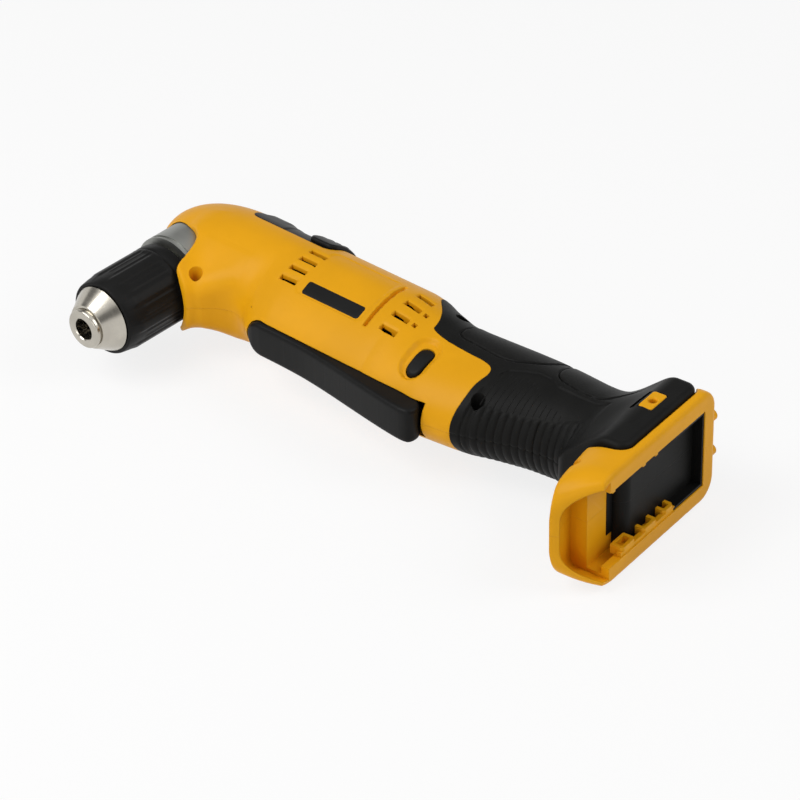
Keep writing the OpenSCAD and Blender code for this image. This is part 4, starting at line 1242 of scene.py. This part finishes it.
class DRILL_OT_label(Operator):
    """Makes the plain black strip on each side of the barrel."""

    bl_idname = "drill.label"
    bl_label = "Plain label strips"

    def execute(self, context):
        paint = black_finish(context)
        nx, ny = 60, 16
        gx = np.linspace(LABEL[0], LABEL[1], nx)
        gy = np.linspace(LABEL[2], LABEL[3], ny)
        x, y = (g.ravel() for g in np.meshgrid(gx, gy, indexing="ij"))
        edge = rect_field(x, y, *LABEL, 1.4)
        z = surface_z(lambda *at: barrel_field(*at) + PANEL_DEPTH, x, y)
        for side, name in ((1, "label_strip_left"), (-1, "label_strip_right")):
            dx, dy = x - (LABEL[0] + LABEL[1]) / 2, y - (LABEL[2] + LABEL[3]) / 2
            pull = np.maximum(edge, 0)
            px, py = x - np.sign(dx) * pull * 0.72, y - np.sign(dy) * pull * 0.72
            rim = 0.16 * (1 - ease(edge, -0.6, 0.0))
            top = np.stack([px, py, (z + 0.06 + rim) * side], 1)
            low = np.stack([px, py, (z - 0.4) * side], 1)
            quads = [[i * ny + j, (i + 1) * ny + j, (i + 1) * ny + j + 1, i * ny + j + 1]
                     for i in range(nx - 1) for j in range(ny - 1)]
            ring = [i * ny for i in range(nx)] + [(nx - 1) * ny + j for j in range(1, ny)]
            ring += [i * ny + ny - 1 for i in range(nx - 2, -1, -1)] + list(range(ny - 2, 0, -1))
            base = nx * ny
            faces = quads + [[base + k for k in q[::-1]] for q in quads]
            faces += [[base + a, base + b, b, a] for a, b in zip(ring, ring[1:] + ring[:1])]
            if side < 0:
                faces = [q[::-1] for q in faces]
            dress(new_object(name, np.concatenate([top, low]), faces), paint, "body")
        return {"FINISHED"}


class DRILL_OT_works(Operator):
    """Gives the drive, switch, fasteners and contacts their finishes."""

    bl_idname = "drill.works"
    bl_label = "Works and fasteners"

    def execute(self, context):
        steel = steel_finish()
        cast = finish("cast", metal, "grey_aluminium", (0.33, 0.335, 0.315), 0.42, CAST, 0.1, 0.00003)
        iron = finish("iron", metal, "dark_iron", (0.16, 0.16, 0.17), 0.45, DRAWN)
        copper = finish("copper", metal, "copper", (0.72, 0.34, 0.16), 0.3, DRAWN)
        lead = finish("lead", coated, "red_lead", (0.30, 0.012, 0.01), 0.4)
        tin = finish("tin", coated, "tinned_brass", (0.62, 0.58, 0.5), 0.35)
        white = finish("white", coated, "plunger_plastic", (0.55, 0.53, 0.48), 0.4)
        black = black_finish(context)
        plated = nickel_finish(context)
        groups = (
            (tin, ("terminal_blades",)),
            (steel, ("housing_screws", "spindle_bearing", "top_bearing", "pinion_bearing",
                     "ring_gear", "shift_fork", "spindle", "jaw_nut", "planet_1", "planet_2", "planet_3",
                     "motor_shaft", "jaw_1", "jaw_2", "jaw_3")),
            (cast, ("gear_case", "motor_plate", "planet_carrier", "bevel_gear", "bevel_pinion")),
            (iron, ("motor_can", "motor_magnets", "armature_core", "brushes")),
            (copper, ("armature_windings", "commutator")),
            (black, ("brush_ring", "switch_body", "motor_fan")),
            (plated, ("chuck_screw",)),
            (lead, ("power_leads",)),
            (white, ("switch_plunger",)),
        )
        for paint, names in groups:
            for name in names:
                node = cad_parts[name]
                for place in node.material_slots:
                    place.material = paint
        return {"FINISHED"}


class DRILL_OT_stage(Operator):
    """Makes the pale floor, the lamps, the room light and the camera."""

    bl_idname = "drill.stage"
    bl_label = "Stage"

    def execute(self, context):
        s = context.scene.drill_stage
        scene = context.scene
        scene.view_settings.view_transform = "Standard"
        self.floor(s, CAD_BOX[0][2])
        for lamp, power in zip(LAMPS, (s.key_power, s.fill_power, 0.5 * s.fill_power)):
            self.lamp(*lamp, power)
        self.room(scene, s)
        data = bpy.data.cameras.new("camera")
        data.sensor_width = 36.0
        data.lens = s.lens
        camera = bpy.data.objects.new("camera", data)
        scene.collection.objects.link(camera)
        columns = [Vector(c) for c in (CAMERA_RIGHT, CAMERA_UP, CAMERA_BACK)]
        camera.matrix_world = Matrix.Translation(CAMERA_AT) @ Matrix(columns).transposed().to_4x4()
        scene.camera = camera
        return {"FINISHED"}

    def floor(self, s, height):
        """Large pale floor that takes the shadow and reads as near white."""
        n, half = 24, 4.0
        side = [2 * half * i / n - half for i in range(n + 1)]
        rows = [(x, y, height - 0.0002) for x in side for y in side]
        m = n + 1
        quads = [[i * m + j, (i + 1) * m + j, (i + 1) * m + j + 1, i * m + j + 1] for i in range(n) for j in range(n)]
        mesh = bpy.data.meshes.new("floor")
        mesh.from_pydata(rows, [], quads)
        made = bpy.data.objects.new("floor", mesh)
        bpy.context.scene.collection.objects.link(made)
        f = Finish("floor_paper", Base_Color=rgb(s.floor), Roughness=0.9, Specular_IOR_Level=0.0)
        glow = f.node("ShaderNodeEmission", {}, {"Color": (1, 1, 1, 1), "Strength": 1.0})
        share = f.seen() * FLOOR_GLOW
        both = f.node("ShaderNodeMixShader", {}, {0: share, 1: Value(f, f.shader.outputs[0]), 2: glow})
        f.tree.links.new(both.socket, f.tree.nodes["Material Output"].inputs["Surface"])
        mesh.materials.append(f.material)

    def lamp(self, name, at, to, size, power):
        """Soft square lamp that points at the drill."""
        data = bpy.data.lights.new(name, "AREA")
        data.size = size
        data.energy = power
        made = bpy.data.objects.new(name, data)
        made.location = at
        made.rotation_euler = (Vector(to) - Vector(at)).to_track_quat("-Z", "Y").to_euler()
        bpy.context.scene.collection.objects.link(made)

    def room(self, scene, s):
        """Even room light, white past the floor, with a dim band that shows in polished metal."""
        world = bpy.data.worlds.new("room")
        world.use_nodes = True
        scene.world = world
        world.node_tree.nodes.clear()
        w = Nodes(world.node_tree)
        place = w.node("ShaderNodeSeparateXYZ", {}, {0: w.node("ShaderNodeTexCoord")}, out=2)
        band = place.step(0.28, 0.45) * (1 - place.step(0.68, 0.85))
        plain = w.node("ShaderNodeBackground", {}, {"Color": (1, 1, 1, 1), "Strength": s.sky})
        shown = w.node("ShaderNodeBackground", {}, {"Color": (1, 1, 1, 1), "Strength": 1 - BAND_DIM * band})
        both = w.node("ShaderNodeMixShader", {}, {0: w.seen(), 1: plain, 2: shown})
        w.node("ShaderNodeOutputWorld", {}, {"Surface": both})


OPERATORS = (DRILL_OT_shell, DRILL_OT_grip, DRILL_OT_selector, DRILL_OT_button, DRILL_OT_paddle, DRILL_OT_chuck,
             DRILL_OT_foot_fittings, DRILL_OT_label, DRILL_OT_works, DRILL_OT_stage)
SETTINGS = {"drill_shell": ShellSettings, "drill_grip": GripSettings, "drill_controls": ControlSettings,
            "drill_chuck": ChuckSettings, "drill_stage": StageSettings}


class DRILL_PT_pieces(Panel):
    """Lists the steps that build the drill, with their settings."""

    bl_idname = "DRILL_PT_pieces"
    bl_label = "Right angle drill"
    bl_space_type = "VIEW_3D"
    bl_region_type = "UI"
    bl_category = "Drill"

    def draw(self, context):
        for operator in OPERATORS:
            self.layout.operator(operator.bl_idname)
        for name, group in SETTINGS.items():
            box = self.layout.box()
            for key in group.__annotations__:
                box.prop(getattr(context.scene, name), key)


CLASSES = (*SETTINGS.values(), *OPERATORS, DRILL_PT_pieces)


def register():
    for item in CLASSES:
        bpy.utils.register_class(item)
    for name, group in SETTINGS.items():
        setattr(bpy.types.Scene, name, PointerProperty(type=group))


def unregister():
    for name in SETTINGS:
        delattr(bpy.types.Scene, name)
    for item in reversed(CLASSES):
        bpy.utils.unregister_class(item)


def main():
    register()
    for operator in OPERATORS:
        area, step = operator.bl_idname.split(".")
        getattr(getattr(bpy.ops, area), step)()


if __name__ == "__main__":
    main()
